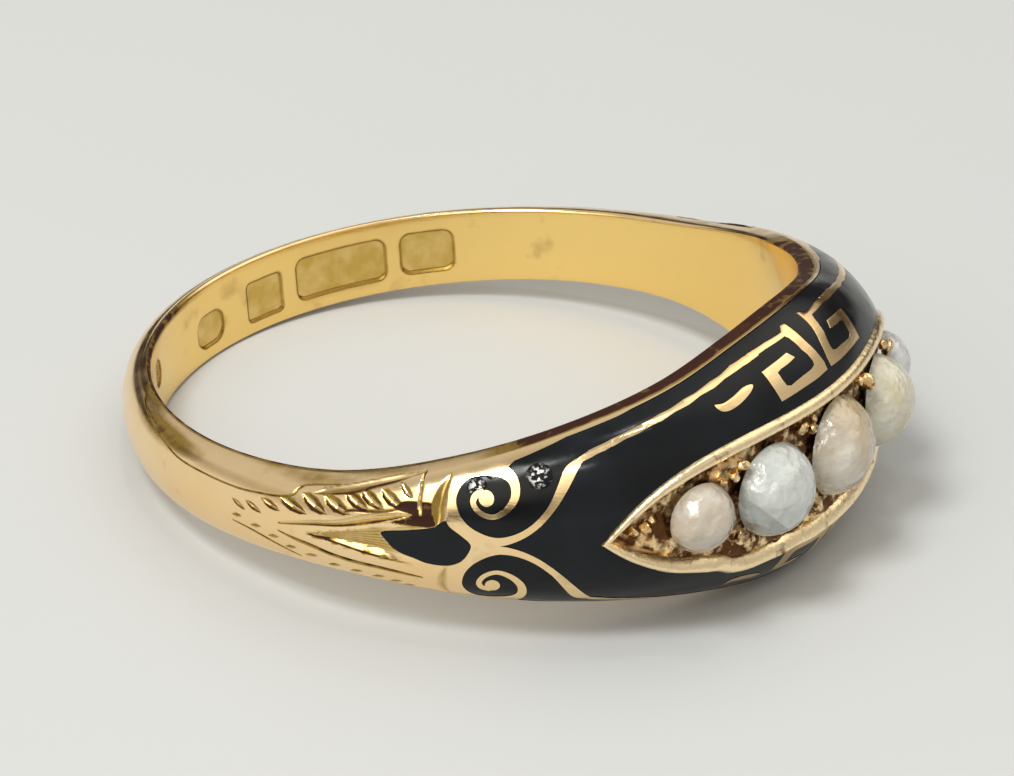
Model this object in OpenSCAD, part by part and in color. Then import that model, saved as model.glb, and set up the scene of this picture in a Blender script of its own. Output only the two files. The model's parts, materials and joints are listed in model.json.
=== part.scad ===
// Gold ring with a domed head, black enamel, Greek keys, scrolls and five half pearls.
// The ring lies on its side, as it rests by itself. The origin is under its middle, on the floor.
// Angles run round the ring from the middle of its head, which faces -Y, towards -X.

/* [Finger hole] */
// Inner diameter of the ring
hole_d = 17.5; // [15:0.1:20]

/* [Gold band] */
// Width of the head at its middle
head_w = 7; // [6.6:0.1:7.6]
// Width of the shank at the back
back_w = 2.25; // [2:0.05:2.8]
// Thickness of the head at its crown
head_t = 2.48; // [2.4:0.02:2.8]
// Thickness of the shank at the back
back_t = 0.85; // [0.7:0.05:1.2]

/* [Pearl setting] */
// Angle from the middle of the head to each point of the setting
setting_a = 41.3; // [39:0.1:42]
// Width of the setting, over its gold rim
setting_w = 3.6; // [3.5:0.05:3.8]
// Width of the setting's gold rim
setting_rim = 0.3; // [0.24:0.01:0.32]
// Height that the rim stands above the enamel
setting_h = 0.1; // [0.04:0.01:0.15]
// How far the points of the setting lie below the mid line
setting_sag = 0.16; // [0:0.01:0.2]
// Diameter of the gold grains that hold the pearls
grain_d = 0.42; // [0.3:0.01:0.5]

/* [Pearls] */
// Diameter of the middle pearl at its sawn face
pearl_mid_d = 2.7; // [2.4:0.02:2.8]
// Diameter of the pearl on each side of it
pearl_side_d = 2.5; // [2.2:0.02:2.54]
// Diameter of the two end pearls
pearl_end_d = 1.86; // [1.5:0.02:1.9]
// Height of the middle pearl over its sawn face
pearl_mid_h = 1; // [0.7:0.05:1.3]
// Height of the side pearls
pearl_side_h = 1.13; // [0.8:0.01:1.2]
// Height of the end pearls
pearl_end_h = 0.82; // [0.6:0.01:0.9]
// Angle of the side pearls
pearl_side_a = 15.2; // [14.8:0.1:15.6]
// Angle of the end pearls
pearl_end_a = 27.3; // [27:0.1:28]

/* [Enamel] */
// Depth of the enamel cells
enamel_t = 0.3; // [0.2:0.05:0.4]
// Gap between the enamel and the gold
seat_gap = 0.02; // [0.01:0.005:0.04]

/* [Greek keys] */
// Angle of the middle of each key
key_a = 6.3; // [6.1:0.1:6.8]
// Length of a key along the band
key_l = 1.96; // [1.8:0.02:2]
// Height of a key's lower edge above the mid line
key_low = 2.13; // [2.1:0.01:2.2]
// Height of a key's upper edge above the mid line
key_high = 3.34; // [3.3:0.01:3.36]

/* [Gold lines] */
// Width of the thin line that runs from the scroll to the key
line_w = 0.2; // [0.14:0.01:0.24]
// Angle of the scrolls' eyes
scroll_a = 56.4; // [55:0.1:57]

/* [Hidden] */
hole_r = hole_d / 2;
gold = "#d9a441";
black = "#15161a";
cream = "#ece6da";

// One row for each section: angle, share of the head's extra width,
// share of its extra thickness, width of the flat rim face
SECTIONS = [[0, 1, 1, 0.42], [12, 0.93, 0.99, 0.40], [25, 0.745, 0.97, 0.40],
            [40, 0.555, 0.72, 0.40], [60, 0.297, 0.41, 0.55], [80, 0.066, 0.29, 0.72],
            [100, 0.006, 0.08, 0.58], [130, 0, 0, 0.38], [180, 0, 0, 0.35]];

// Centre line of a scroll, from its tip by the edge to its eye: x along the band
// towards the head, z above the mid line, width of the gold
SCROLL = [[2.55, 2.02, 0.08], [2.32, 1.86, 0.20], [2.12, 1.68, 0.30], [1.90, 1.33, 0.26],
          [1.60, 0.90, 0.20], [1.16, 0.47, 0.20], [0.66, 0.20, 0.22], [0.14, 0.12, 0.26],
          [-0.38, 0.34, 0.24], [-0.70, 0.66, 0.24], [-0.84, 1.00, 0.26], [-0.82, 1.28, 0.24],
          [-0.64, 1.56, 0.22], [-0.37, 1.74, 0.24], [0.07, 1.80, 0.24], [0.49, 1.76, 0.26],
          [0.73, 1.56, 0.24], [0.74, 1.24, 0.22], [0.52, 0.94, 0.18], [0.18, 0.77, 0.14],
          [-0.14, 0.87, 0.14], [-0.31, 1.10, 0.16], [-0.14, 1.27, 0.26], [0.04, 1.22, 0.34]];
// Rows of SCROLL that bound the enamel on the shank's side
TURN_FROM = 7;
TURN_TO = 15;

// Edge of the gold along the shoulder's rim, beyond the scroll: x, z
RIM_TAPER = [[0.78, 1.95], [2.1, 2.3], [3.44, 2.57], [4.3, 2.77]];

// Outline of a drop cell in the scroll's plane: x, z
DROP = [[-2.63, 0.33], [-2.50, 0.05], [-2.36, -0.12], [-2.13, -0.27], [-1.85, -0.38],
        [-1.55, -0.50], [-1.20, -0.56], [-0.93, -0.54], [-0.68, -0.41], [-0.50, -0.17],
        [-0.44, 0.06], [-0.66, 0.30], [-0.92, 0.52], [-1.02, 0.68], [-1.20, 0.58],
        [-1.35, 0.50], [-1.95, 0.42]];

// Outline of a key: share of its half length towards the head, share of its height
KEY = [[-1.07, 0.79], [-0.35, 0.865], [0.39, 0.9], [0.69, 0.21], [-0.59, 0.17],
       [-0.63, 0.49], [0.13, 0.55], [0.04, 0.67], [-1.05, 0.6], [-0.99, 0], [1.08, 0.03],
       [0.74, 0.99], [0.55, 1], [0.36, 0.955], [-0.3, 0.93], [-1.07, 0.88]];

// Outline of the comma between the key and the scroll, in its own plane
COMMA_A = 18.3;
COMMA = [[-0.60, 2.52], [-0.50, 2.38], [-0.23, 2.36], [0.15, 2.44], [0.52, 2.57],
         [0.65, 2.68], [0.37, 2.68], [0, 2.58], [-0.36, 2.51]];

// Height of the thin line, as a share of the half width, by angle
LINE_PATH = [[0, 0.946], [12, 0.944], [17.5, 0.932], [25.3, 0.916], [32.3, 0.886],
             [37.4, 0.857], [43, 0.812]];

// Angles and heights of the grains between the pearls
GRAINS = [[8.1, 1.1], [21.8, 1.02], [35.2, 0]];

edge_p = 86;
row_step = 1 / 7;
seat_r = hole_r + 2.1;
prism_low = hole_r - 0.6;
prism_high = hole_r + 3.6;
rest_tilt = atan((head_w - back_w) / 2 / (2 * hole_r + rim(180)));
rest_lift = head_w / 2 * cos(rest_tilt) - hole_r * sin(rest_tilt);
front_y = (seat_r + seat_gap + pearl_mid_h - dome_r(pearl_mid_d, pearl_mid_h)) * cos(rest_tilt)
    + dome_r(pearl_mid_d, pearl_mid_h);
back_y = (hole_r + rim(180)) * cos(rest_tilt)
    + norm([(back_t - rim(180)) * cos(rest_tilt), back_w / 2 * sin(rest_tilt)]);
rest_shift = (front_y - back_y) / 2;

// Smooth curve through the rows of a table
function slope(t, c, i) = i == 0 || i == len(t) - 1 ? 0
    : (t[i + 1][c] - t[i - 1][c]) / (t[i + 1][0] - t[i - 1][0]);
function row_at(t, x, i = 0) = i == len(t) - 2 || x <= t[i + 1][0] ? i : row_at(t, x, i + 1);
function smooth(t, c, x) = let (i = row_at(t, x), d = t[i + 1][0] - t[i][0],
    s = min((x - t[i][0]) / d, 1))
    (2 * s^3 - 3 * s^2 + 1) * t[i][c] + (s^3 - 2 * s^2 + s) * d * slope(t, c, i)
    + (3 * s^2 - 2 * s^3) * t[i + 1][c] + (s^3 - s^2) * d * slope(t, c, i + 1);

// Form of the band
function fold(a) = abs(a - 360 * round(a / 360));
function half(a) = (back_w + (head_w - back_w) * smooth(SECTIONS, 1, fold(a))) / 2;
function thick(a) = back_t + (head_t - back_t) * smooth(SECTIONS, 2, fold(a));
function rim(a) = smooth(SECTIONS, 3, fold(a));
function spot(a, r, z) = [-r * sin(a), -r * cos(a), z];
function dome(a, p, depth) = spot(a,
    hole_r + rim(a) + (thick(a) - rim(a) - depth) * cos(p), (half(a) - depth) * sin(p));

// Solid through equal rings of points, open with two caps or closed on itself
module loft(rings, closed = false) {
    n = len(rings);
    m = len(rings[0]);
    last = closed ? n - 1 : n - 2;
    sides = [for (i = [0:last], j = [0:m - 1]) let (k = (i + 1) % n, l = (j + 1) % m)
        each [[i * m + j, k * m + l, i * m + l], [i * m + j, k * m + j, k * m + l]]];
    caps = closed ? [] : [[for (j = [0:m - 1]) j], [for (j = [m - 1:-1:0]) (n - 1) * m + j]];
    polyhedron([for (ring = rings) each ring], concat(sides, caps), convexity = 8);
}

// Plain gold form, before its cells and its hole are cut
module blank() {
    angles = [each [-72:4:72], each [79.2:7.2:281]];
    loft([for (a = angles) [spot(a, prism_low, -half(a)), dome(a, -90, 0),
        for (q = [-1:row_step:1.01]) dome(a, q * edge_p, 0), dome(a, 90, 0),
        spot(a, prism_low, half(a))]], closed = true);
}

// Layer of the dome between two depths and two angles, up to p degrees from its crown
module layer(top, bottom, from, to, p) {
    loft([for (a = [from:4:to]) [for (q = [-1:row_step:1.01]) dome(a, q * p, top),
        for (q = [1:-0.25:-1]) dome(a, q * p, bottom)]]);
}

// Upright wall between two heights, from the radii low outwards
module wall(angles, z0, z1, low) {
    loft([for (i = [0:len(angles) - 1]) let (a = angles[i]) [spot(a, low[i], z0[i]),
        spot(a, prism_high, z0[i]), spot(a, prism_high, z1[i]), spot(a, low[i], z1[i])]]);
}

// A flat pattern, x towards the head and y up, pushed straight out of the ring at angle a
module facing(a) {
    rotate([90, 0, -a]) translate([0, 0, prism_low]) linear_extrude(prism_high - prism_low)
        children();
}

module both_sides() {
    for (side = [0, 1]) mirror([side, 0, 0]) children();
}

module both_edges() {
    for (side = [0, 1]) mirror([0, 0, side]) children();
}

// Outline of a line that follows rows of x, z and width
function across(t, i) = let (d = t[min(i + 1, len(t) - 1)] - t[max(i - 1, 0)],
    l = norm([d[0], d[1]])) [-d[1], d[0]] / l * t[i][2] / 2;
function stroke(t) = concat([for (i = [0:len(t) - 1]) [t[i][0], t[i][1]] + across(t, i)],
    [for (i = [len(t) - 1:-1:0]) [t[i][0], t[i][1]] - across(t, i)]);

// Pearl setting: its half width, centre line and floor at an angle
function setting_half(a, rim_in) = 0.005 + (setting_w / 2 - rim_in)
    * (1 - pow(min(abs(a) / (setting_a - 3 * rim_in), 1), 4.45));
function setting_mid(a) = -setting_sag * pow(abs(a) / setting_a, 5);
function floor_r(a) = min(seat_r, hole_r + thick(a) - 0.25);
module setting(rim_in, low = 0) {
    tip = setting_a - 3 * rim_in;
    angles = [for (s = [-1, -0.97, -0.93, -0.87, -0.78, -0.66, -0.5, -0.3, -0.1,
        0.1, 0.3, 0.5, 0.66, 0.78, 0.87, 0.93, 0.97, 1]) s * tip];
    wall(angles, [for (a = angles) setting_mid(a) - setting_half(a, rim_in)],
        [for (a = angles) setting_mid(a) + setting_half(a, rim_in)],
        [for (a = angles) low > 0 ? floor_r(a) : prism_low]);
}

module setting_rim_solid() {
    intersection() {
        layer(-setting_h, 1, -46, 46, 45);
        setting(0.012);
    }
}

module grains() {
    for (g = GRAINS) both_sides() both_edges()
        rotate([90, 0, -g[0]]) translate([0, g[1] + setting_mid(g[0]), floor_r(g[0]) - 0.1]) {
            cylinder(h = 0.22, d = grain_d, $fn = 8);
            translate([0, 0, 0.22]) sphere(d = grain_d, $fn = 8);
        }
}

// Gold lines that cross the enamel, grown by g
module key_2d(g) {
    offset(delta = g) polygon([for (p = KEY)
        [p[0] * key_l / 2, key_low + p[1] * (key_high - key_low)]]);
}

module thin_line(g) {
    angles = [11.2 - 6 * g, 15.1, 19.1, 23.1, 27.1, 31.1, 35.1, 39.1, 43 + 6 * g];
    level = [for (a = angles) smooth(LINE_PATH, 1, a) * half(a)];
    reach = 0.3 * line_w + g;
    wall(angles, [for (z = level) z - reach], [for (z = level) z + reach],
        [for (a = angles) prism_low]);
}

module shoulder_2d(g) {
    turn = [for (i = [TURN_FROM:TURN_TO]) [SCROLL[i][0], SCROLL[i][1]]];
    offset(delta = g) for (side = [0, 1]) mirror([0, side]) {
        polygon(stroke(SCROLL));
        polygon(concat([[0.14, -0.01]], turn, RIM_TAPER, [[4.3, 3], [-3, 3], [-3, -0.01]]));
    }
}

module field_gold(g) {
    both_sides() {
        facing(scroll_a) shoulder_2d(g);
        both_edges() {
            facing(key_a) key_2d(g);
            facing(COMMA_A) offset(delta = g) polygon(COMMA);
            thin_line(g);
        }
    }
    setting(-g);
}

module field(top, bottom, p, g, to) {
    difference() {
        layer(top, bottom, -to, to, p);
        field_gold(g);
    }
}

module drop(top, bottom, g) {
    intersection() {
        layer(top, bottom, 54, 74, 60);
        facing(scroll_a) offset(delta = -g) polygon(DROP);
    }
}

// The ring as it rests on its side, in the middle of its own length
module at_rest() {
    translate([0, rest_shift, rest_lift]) rotate([-rest_tilt, 0, 0]) children();
}

module goldwork() {
    difference() {
        union() {
            blank();
            setting_rim_solid();
        }
        field(-0.2, enamel_t + seat_gap, edge_p, 0, 62);
        both_sides() drop(-0.2, enamel_t + seat_gap, 0);
        setting(setting_rim, low = 1);
    }
    grains();
}

module band() {
    color(gold) at_rest() difference() {
        resize([0, 0, 0]) goldwork();
        translate([0, 0, -head_w]) cylinder(h = 2 * head_w, r = hole_r, $fn = 180);
    }
}

module enamel_field() {
    color(black) at_rest() resize([0, 0, 0]) field(0, enamel_t, edge_p - 0.5, seat_gap, 64);
}

module enamel_drop_left() {
    color(black) at_rest() resize([0, 0, 0]) drop(0, enamel_t, seat_gap);
}

module enamel_drop_right() {
    color(black) at_rest() resize([0, 0, 0]) mirror([1, 0, 0]) drop(0, enamel_t, seat_gap);
}

// A round pearl with its back sawn flat, set at angle a: d and h are its sawn width and height
function dome_r(d, h) = (d * d / 4 + h * h) / (2 * h);
module pearl(a, d, h) {
    r = dome_r(d, h);
    color(cream) at_rest() rotate([90, 0, -a])
        translate([0, setting_mid(a), seat_r + seat_gap]) intersection() {
            translate([0, 0, h - r]) sphere(r = r, $fn = 48);
            translate([-2 * r, -2 * r, 0]) cube([4 * r, 4 * r, 2 * r]);
        }
}

module pearl_1() { pearl(pearl_end_a, pearl_end_d, pearl_end_h); }
module pearl_2() { pearl(pearl_side_a, pearl_side_d, pearl_side_h); }
module pearl_3() { pearl(0, pearl_mid_d, pearl_mid_h); }
module pearl_4() { pearl(-pearl_side_a, pearl_side_d, pearl_side_h); }
module pearl_5() { pearl(-pearl_end_a, pearl_end_d, pearl_end_h); }

band();
enamel_field();
enamel_drop_left();
enamel_drop_right();
pearl_1();
pearl_2();
pearl_3();
pearl_4();
pearl_5();
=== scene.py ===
"""Antique gold ring with black enamel, Greek keys, scrolls and five half pearls.

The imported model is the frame: the finger hole's place, axis and radius come from it.
Shapes are worked out in millimetres about the finger hole, where an angle runs from the
middle of the head, which faces -Y, towards -X, and z runs along the hole. Each finished
piece is then laid down as the ring rests and stored in metres.
"""

import json
import math

import bpy
import numpy as np
from mathutils import Matrix, Vector


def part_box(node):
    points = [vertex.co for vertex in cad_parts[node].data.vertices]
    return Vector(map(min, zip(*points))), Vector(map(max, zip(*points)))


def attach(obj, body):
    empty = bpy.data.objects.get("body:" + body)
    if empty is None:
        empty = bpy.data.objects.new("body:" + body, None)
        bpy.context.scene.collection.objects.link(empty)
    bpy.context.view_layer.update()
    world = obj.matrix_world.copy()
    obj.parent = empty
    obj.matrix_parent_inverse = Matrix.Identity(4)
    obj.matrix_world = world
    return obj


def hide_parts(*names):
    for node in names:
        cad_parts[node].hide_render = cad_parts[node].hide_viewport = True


bl_info = {
    "name": "Enamel ring",
    "version": (1, 0, 0),
    "blender": (4, 5, 0),
    "location": "View3D > Sidebar > Ring",
    "description": "Dresses a gold ring with black enamel and half pearls",
    "category": "Add Mesh",
}

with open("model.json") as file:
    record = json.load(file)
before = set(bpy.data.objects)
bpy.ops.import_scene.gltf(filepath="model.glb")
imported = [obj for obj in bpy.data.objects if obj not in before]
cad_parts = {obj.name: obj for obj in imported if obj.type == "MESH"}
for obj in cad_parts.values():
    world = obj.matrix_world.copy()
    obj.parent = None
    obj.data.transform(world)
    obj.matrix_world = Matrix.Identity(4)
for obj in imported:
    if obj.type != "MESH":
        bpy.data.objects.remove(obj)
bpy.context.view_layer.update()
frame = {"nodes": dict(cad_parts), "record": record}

MM = 0.001
HOLE = frame["record"]["mounts"][0]
HOLE_R = HOLE["dims"]["r_mm"]
TILT = math.atan2(HOLE["axis"][1], HOLE["axis"][2])
LAID_DOWN = Matrix.Translation(HOLE["pos_m"]) @ Matrix.Rotation(-TILT, 4, "X")

# Form of the band: angle, share of the head's extra width, share of its extra thickness,
# width of the flat rim face, edge of the enamel in degrees from the crown line, drop of the
# rim face towards its outer edge
SECTIONS = [
    (0, 1, 1, 0.42, 86, 0), (12, 0.93, 0.99, 0.40, 86, 0), (25, 0.745, 0.97, 0.40, 85, 0),
    (40, 0.555, 0.72, 0.40, 82, 0), (60, 0.297, 0.41, 0.55, 81, 0.03),
    (80, 0.066, 0.29, 0.72, 81, 0.12), (100, 0.006, 0.08, 0.58, 81, 0.12),
    (130, 0, 0, 0.30, 81, 0.07), (150, 0, 0, 0.19, 81, 0.05), (180, 0, 0, 0.19, 81, 0.05),
]
DOME_TURN = 66

# Centre line of a scroll, from its tip by the edge to its eye: x towards the head,
# z above the mid line, width of the gold
SCROLL = [
    (2.55, 2.02, 0.05), (2.32, 1.86, 0.17), (2.12, 1.69, 0.29), (1.90, 1.34, 0.25),
    (1.60, 0.90, 0.18), (1.16, 0.47, 0.17), (0.66, 0.20, 0.19), (0.14, 0.12, 0.24),
    (-0.38, 0.34, 0.24), (-0.70, 0.66, 0.24), (-0.84, 1.00, 0.26), (-0.82, 1.28, 0.24),
    (-0.64, 1.56, 0.22), (-0.37, 1.75, 0.24), (0.07, 1.81, 0.24), (0.49, 1.77, 0.26),
    (0.73, 1.57, 0.24), (0.74, 1.24, 0.20), (0.52, 0.94, 0.16), (0.18, 0.77, 0.13),
    (-0.14, 0.87, 0.13), (-0.30, 1.09, 0.14), (-0.23, 1.28, 0.15), (-0.02, 1.36, 0.14),
]
TURN_FROM = 7
TURN_TO = 15
EYE = (0.03, 1.21, 0.19)

# Edge of the gold along the shoulder's rim, beyond the scroll: x, z
RIM_TAPER = [(0.78, 1.95), (2.1, 2.3), (3.44, 2.57), (4.3, 2.77)]

# Outline of a drop cell in the scroll's plane: x, z
DROP = [
    (-2.63, 0.33), (-2.50, 0.05), (-2.36, -0.12), (-2.13, -0.27), (-1.85, -0.38),
    (-1.55, -0.50), (-1.20, -0.56), (-0.93, -0.54), (-0.68, -0.41), (-0.50, -0.17),
    (-0.44, 0.06), (-0.66, 0.30), (-0.92, 0.52), (-1.02, 0.68), (-1.20, 0.58),
    (-1.35, 0.50), (-1.95, 0.42),
]

# Outline of the key on the left of the middle, in its own plane: x, z
KEY = [
    (0.71, 3.36), (0.83, 2.98), (0.97, 2.69), (1.08, 2.39), (1.08, 2.19), (0.57, 2.16),
    (-0.06, 2.15), (-0.51, 2.13), (-0.96, 2.11), (-1.01, 2.50), (-1.04, 2.82), (-0.76, 2.86),
    (-0.33, 2.91), (0.02, 2.95), (0.16, 2.81), (-0.21, 2.76), (-0.47, 2.74), (-0.63, 2.70),
    (-0.62, 2.53), (-0.58, 2.38), (-0.44, 2.33), (-0.22, 2.36), (0.13, 2.39), (0.50, 2.41),
    (0.65, 2.45), (0.68, 2.54), (0.62, 2.73), (0.53, 2.86), (0.49, 3.0), (0.42, 3.16),
    (0.35, 3.22), (-0.44, 3.17), (-1.06, 3.10), (-0.98, 3.18), (-0.28, 3.25), (0.40, 3.28),
    (0.56, 3.36),
]

# Outline of the comma between the key and the scroll, in its own plane: x, z
COMMA = [
    (-0.60, 2.52), (-0.50, 2.38), (-0.23, 2.36), (0.15, 2.44), (0.52, 2.57), (0.65, 2.68),
    (0.37, 2.68), (0.0, 2.58), (-0.36, 2.51),
]

# Thin gold line from the scroll to the key: angle, upper edge, lower edge
THIN_LINE = [
    (10.6, 3.21, 3.12), (13.0, 3.155, 3.06), (15.5, 3.09, 2.995), (20.0, 2.915, 2.825),
    (25.0, 2.725, 2.635), (29.5, 2.555, 2.46), (33.5, 2.40, 2.295), (37.4, 2.245, 2.13),
    (41.0, 2.085, 1.955), (43.6, 1.92, 1.80),
]

# Profile of the setting's border: how far it lies inside the setting's outline along the
# upper side and along the lower side, and its height above the enamel
BORDER = [
    (-0.01, -0.01, -0.30), (-0.01, -0.01, 0.03), (0.015, 0.015, 0.075), (0.05, 0.04, 0.10),
    (0.12, 0.07, 0.11), (0.19, 0.10, 0.10), (0.25, 0.15, 0.07), (0.29, 0.24, 0.0),
    (0.32, 0.34, -0.09), (0.35, 0.44, -0.22), (0.38, 0.50, -0.40), (0.38, 0.50, -0.62),
    (0.20, 0.20, -0.75), (0.05, 0.05, -0.60),
]

# Nuggets of gold that hold the pearls: angle, z, height above the floor, size
NUGGETS = [
    (34.9, 0.02, 0.24, 0.20), (36.4, -0.06, 0.10, 0.12), (33.6, 0.16, 0.08, 0.12),
    (22.3, 0.92, 0.34, 0.19), (20.8, 1.12, 0.26, 0.17), (23.9, 0.80, 0.20, 0.14),
    (21.6, -0.86, 0.30, 0.19), (19.6, -1.06, 0.20, 0.17), (23.6, -0.78, 0.16, 0.14),
    (7.4, 1.14, 0.30, 0.18), (8.9, 1.24, 0.22, 0.16), (6.2, 1.30, 0.16, 0.13),
    (7.8, -1.16, 0.28, 0.19), (6.4, -1.28, 0.18, 0.14), (-7.9, 1.17, 0.34, 0.20),
    (-6.6, 1.28, 0.22, 0.15), (-7.8, -1.16, 0.30, 0.19), (-9.0, -1.26, 0.2, 0.14),
    (-21.8, 0.94, 0.32, 0.19), (-20.4, 1.12, 0.22, 0.15), (-21.8, -0.94, 0.30, 0.19),
    (-20.2, -1.10, 0.2, 0.15), (-34.9, -0.05, 0.22, 0.19), (-36.2, 0.04, 0.1, 0.12),
]

# Engraving on a shoulder: each stroke has a kind and rows of angle, height, half width and
# depth. Past the dome's edge the height goes on along the rim face.
GROOVES = [
    # The pit strokes are shallow hollows whose full soil is a painted dark reflection
    ("pit", [(69.3, 0.96, 0.05, 0.01), (68.0, 0.98, 0.13, 0.02), (66.6, 0.96, 0.17, 0.02),
             (64.6, 0.95, 0.17, 0.02)]),
    ("pit", [(69.6, 0.60, 0.03, 0.01), (67.8, 0.62, 0.09, 0.02), (66.0, 0.68, 0.17, 0.02),
             (64.4, 0.66, 0.18, 0.02)]),
    ("leaf", [(82.2, 1.02, 0.02, 0.01), (79.4, 1.14, 0.09, 0.05), (75.9, 1.28, 0.13, 0.08),
              (72.7, 1.44, 0.14, 0.09), (69.1, 1.58, 0.12, 0.08), (66.6, 1.66, 0.07, 0.05),
              (65.5, 1.68, 0.02, 0.01)]),
    ("leaf", [(88.0, 0.12, 0.03, 0.01), (82.3, 0.33, 0.065, 0.035), (77.9, 0.44, 0.085, 0.05),
              (74.1, 0.60, 0.12, 0.075), (70.7, 0.71, 0.10, 0.07), (67.5, 0.78, 0.02, 0.01)]),
    ("line", [(78.2, 0.68, 0.02, 0.01), (75.8, 0.80, 0.04, 0.035), (71.8, 0.83, 0.045, 0.04),
              (68.6, 0.92, 0.02, 0.01)]),
    ("line", [(88.4, -0.11, 0.02, 0.005), (85.5, -0.23, 0.05, 0.035), (82.7, -0.32, 0.06, 0.04),
              (79.3, -0.49, 0.06, 0.04), (75.8, -0.62, 0.06, 0.04), (72.4, -0.72, 0.055, 0.04),
              (69.1, -0.85, 0.05, 0.03), (66.1, -0.97, 0.02, 0.01)]),
    ("line", [(97.8, -0.28, 0.02, 0.008), (93.6, -0.37, 0.035, 0.02), (89.3, -0.55, 0.035, 0.02),
              (85.1, -0.76, 0.02, 0.008)]),
    ("line", [(132.8, 1.08, 0.015, 0.006), (118.9, 0.89, 0.022, 0.015),
              (111.8, 0.70, 0.025, 0.018), (104.9, 0.67, 0.025, 0.018),
              (99.1, 0.66, 0.025, 0.02), (95.8, 0.67, 0.028, 0.02), (91.7, 0.73, 0.03, 0.025),
              (88.7, 0.78, 0.035, 0.03), (86.0, 0.88, 0.035, 0.03), (85.2, 1.03, 0.035, 0.025),
              (83.6, 1.17, 0.035, 0.025), (81.1, 1.25, 0.03, 0.02), (78.6, 1.30, 0.02, 0.01)]),
    ("collar", [(65.1, 1.80, 0.02, 0.01), (65.4, 1.59, 0.045, 0.035), (65.6, 1.30, 0.045, 0.035),
                (65.8, 1.03, 0.045, 0.035), (65.7, 0.80, 0.02, 0.01)]),
    ("olive", [(61.1, 1.69, 0.02, 0.01), (62.2, 1.41, 0.12, 0.06), (62.65, 1.20, 0.17, 0.09),
               (62.95, 1.02, 0.185, 0.10), (62.95, 0.86, 0.17, 0.09), (63.1, 0.70, 0.12, 0.06),
               (63.4, 0.52, 0.02, 0.01)]),
    ("dent", [(62.6, -0.62, 0.03, 0.01), (63.2, -0.95, 0.13, 0.07), (63.4, -1.28, 0.14, 0.06),
              (62.6, -1.60, 0.03, 0.01)]),
]

# Gouge marks on a shoulder: angle and height of both ends, half width
WHEAT = [
    (97.4, 0.34, 94.8, 0.17, 0.07), (94.5, 0.42, 91.6, 0.24, 0.085),
    (91.4, 0.62, 88.0, 0.44, 0.10), (88.3, 0.80, 83.2, 0.53, 0.145),
    (84.2, 0.97, 79.9, 0.62, 0.155), (80.5, 1.01, 76.3, 0.69, 0.155),
    (77.2, 1.15, 73.5, 0.85, 0.14), (74.8, 1.25, 71.2, 0.90, 0.14),
    (71.6, 1.30, 68.2, 0.94, 0.14), (68.6, 1.45, 66.8, 1.18, 0.085),
]
BEADING = [
    (96.7, -0.08), (92.8, -0.19), (89.5, -0.34), (86.5, -0.53), (83.1, -0.65), (79.5, -0.84),
    (76.2, -0.95), (72.9, -1.06), (70.4, -1.19), (68.5, -1.33),
]

# Fan-shaped cut between the two leaves: angle, upper edge, deepest line, lower edge, depth
FAN = [
    (65.5, 0.54, -0.32, -0.58, 0.0), (68.0, 0.50, -0.31, -0.53, 0.06),
    (70.3, 0.46, -0.26, -0.46, 0.11), (72.1, 0.42, -0.20, -0.385, 0.14),
    (74.3, 0.37, -0.13, -0.30, 0.14), (77.1, 0.26, -0.045, -0.17, 0.10),
    (80.0, 0.165, 0.01, -0.06, 0.045), (82.6, 0.07, 0.02, -0.01, 0.0),
]

# Soil and painted shade across a stroke, from its lower edge at -1 to its upper edge at 1, for
# each kind: darker along the edges, mostly on the lower side, where shade falls in a cut
SOIL_AND_SHADE = {
    "leaf": [(-1.15, 0), (-0.95, 0.95), (-0.65, 0.95), (-0.45, 0.55), (0.0, 0.42), (0.2, 0.08),
             (0.7, 0), (0.92, 0.5), (1.1, 0)],
    "mark": [(-1.2, 0), (-0.98, 1), (-0.6, 0.95), (-0.3, 0.4), (0.0, 0), (0.3, 0.15),
             (0.65, 0.75), (0.95, 0.7), (1.15, 0)],
    "line": [(-1.25, 0), (-0.6, 0.75), (0, 0.85), (0.6, 0.6), (1.1, 0)],
    "collar": [(-1.1, 0), (-0.5, 0.25), (0, 0.1), (0.5, 0.75), (1.2, 0)],
    "olive": [(-1.1, 0), (-0.95, 0.7), (-0.8, 0.45), (0.7, 0.38), (1.0, 0)],
    "dent": [(-1.0, 0), (0, 0.35), (1.0, 0)],
    "bead": [(-1.2, 0), (-0.4, 0.6), (0.4, 0.6), (1.2, 0)],
    "pit": [(-1.05, 0), (-0.85, 1), (0.85, 1), (1.05, 0)],
}

# Blank punch marks inside the shank: angle, z, half length in degrees, half height, corner;
# then their depth and the width of their sloping edge
PUNCHES = [
    (153.8, 0.10, 2.4, 0.40, 0.36), (178.6, -0.24, 4.3, 0.50, 0.44),
    (193.9, -0.15, 4.4, 0.62, 0.18), (211.0, -0.05, 9.5, 0.66, 0.32),
    (228.4, -0.02, 5.3, 0.65, 0.34),
]
PUNCH_DEPTH = 0.07
PUNCH_WALL = 0.07

# Darker patches on the shank, partly stains and partly painted dark reflections: angle, height,
# reach along in degrees, reach across, darkness
STAINS_AND_DARK_REFLECTIONS = [
    (84.0, 1.45, 8.0, 0.34, 0.46), (73.0, 1.85, 8.0, 0.22, 0.36), (92.0, 1.62, 8.0, 0.20, 0.42),
    (118.0, 0.96, 13.0, 0.28, 0.80), (130.0, 1.22, 9.0, 0.18, 0.66),
]

# Pitted places in the enamel, which hold painted white glints: angle, height, reach
ENAMEL_PITS = [(57.4, 1.47, 0.26), (48.6, 1.67, 0.34), (55.2, 1.75, 0.16)]

# Steps of a smooth curve from one of its rows to the next
CURVE_STEPS = 4

# Steps between the band's sections in degrees: from, to, step
SECTION_STEPS = [(0, 58, 1.2), (58, 99, 0.82), (99, 180, 1.2)]

# Places along a section, where each of its parts ends: the dome, the upper rim face, the turn
# into the hole, the wall, the turn out of it and the lower rim face
DOME_END = 90
RIM_END = 91
TURN_END = 92
WALL_END = 93
LOW_TURN_END = 94
SECTION_END = 95

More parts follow.
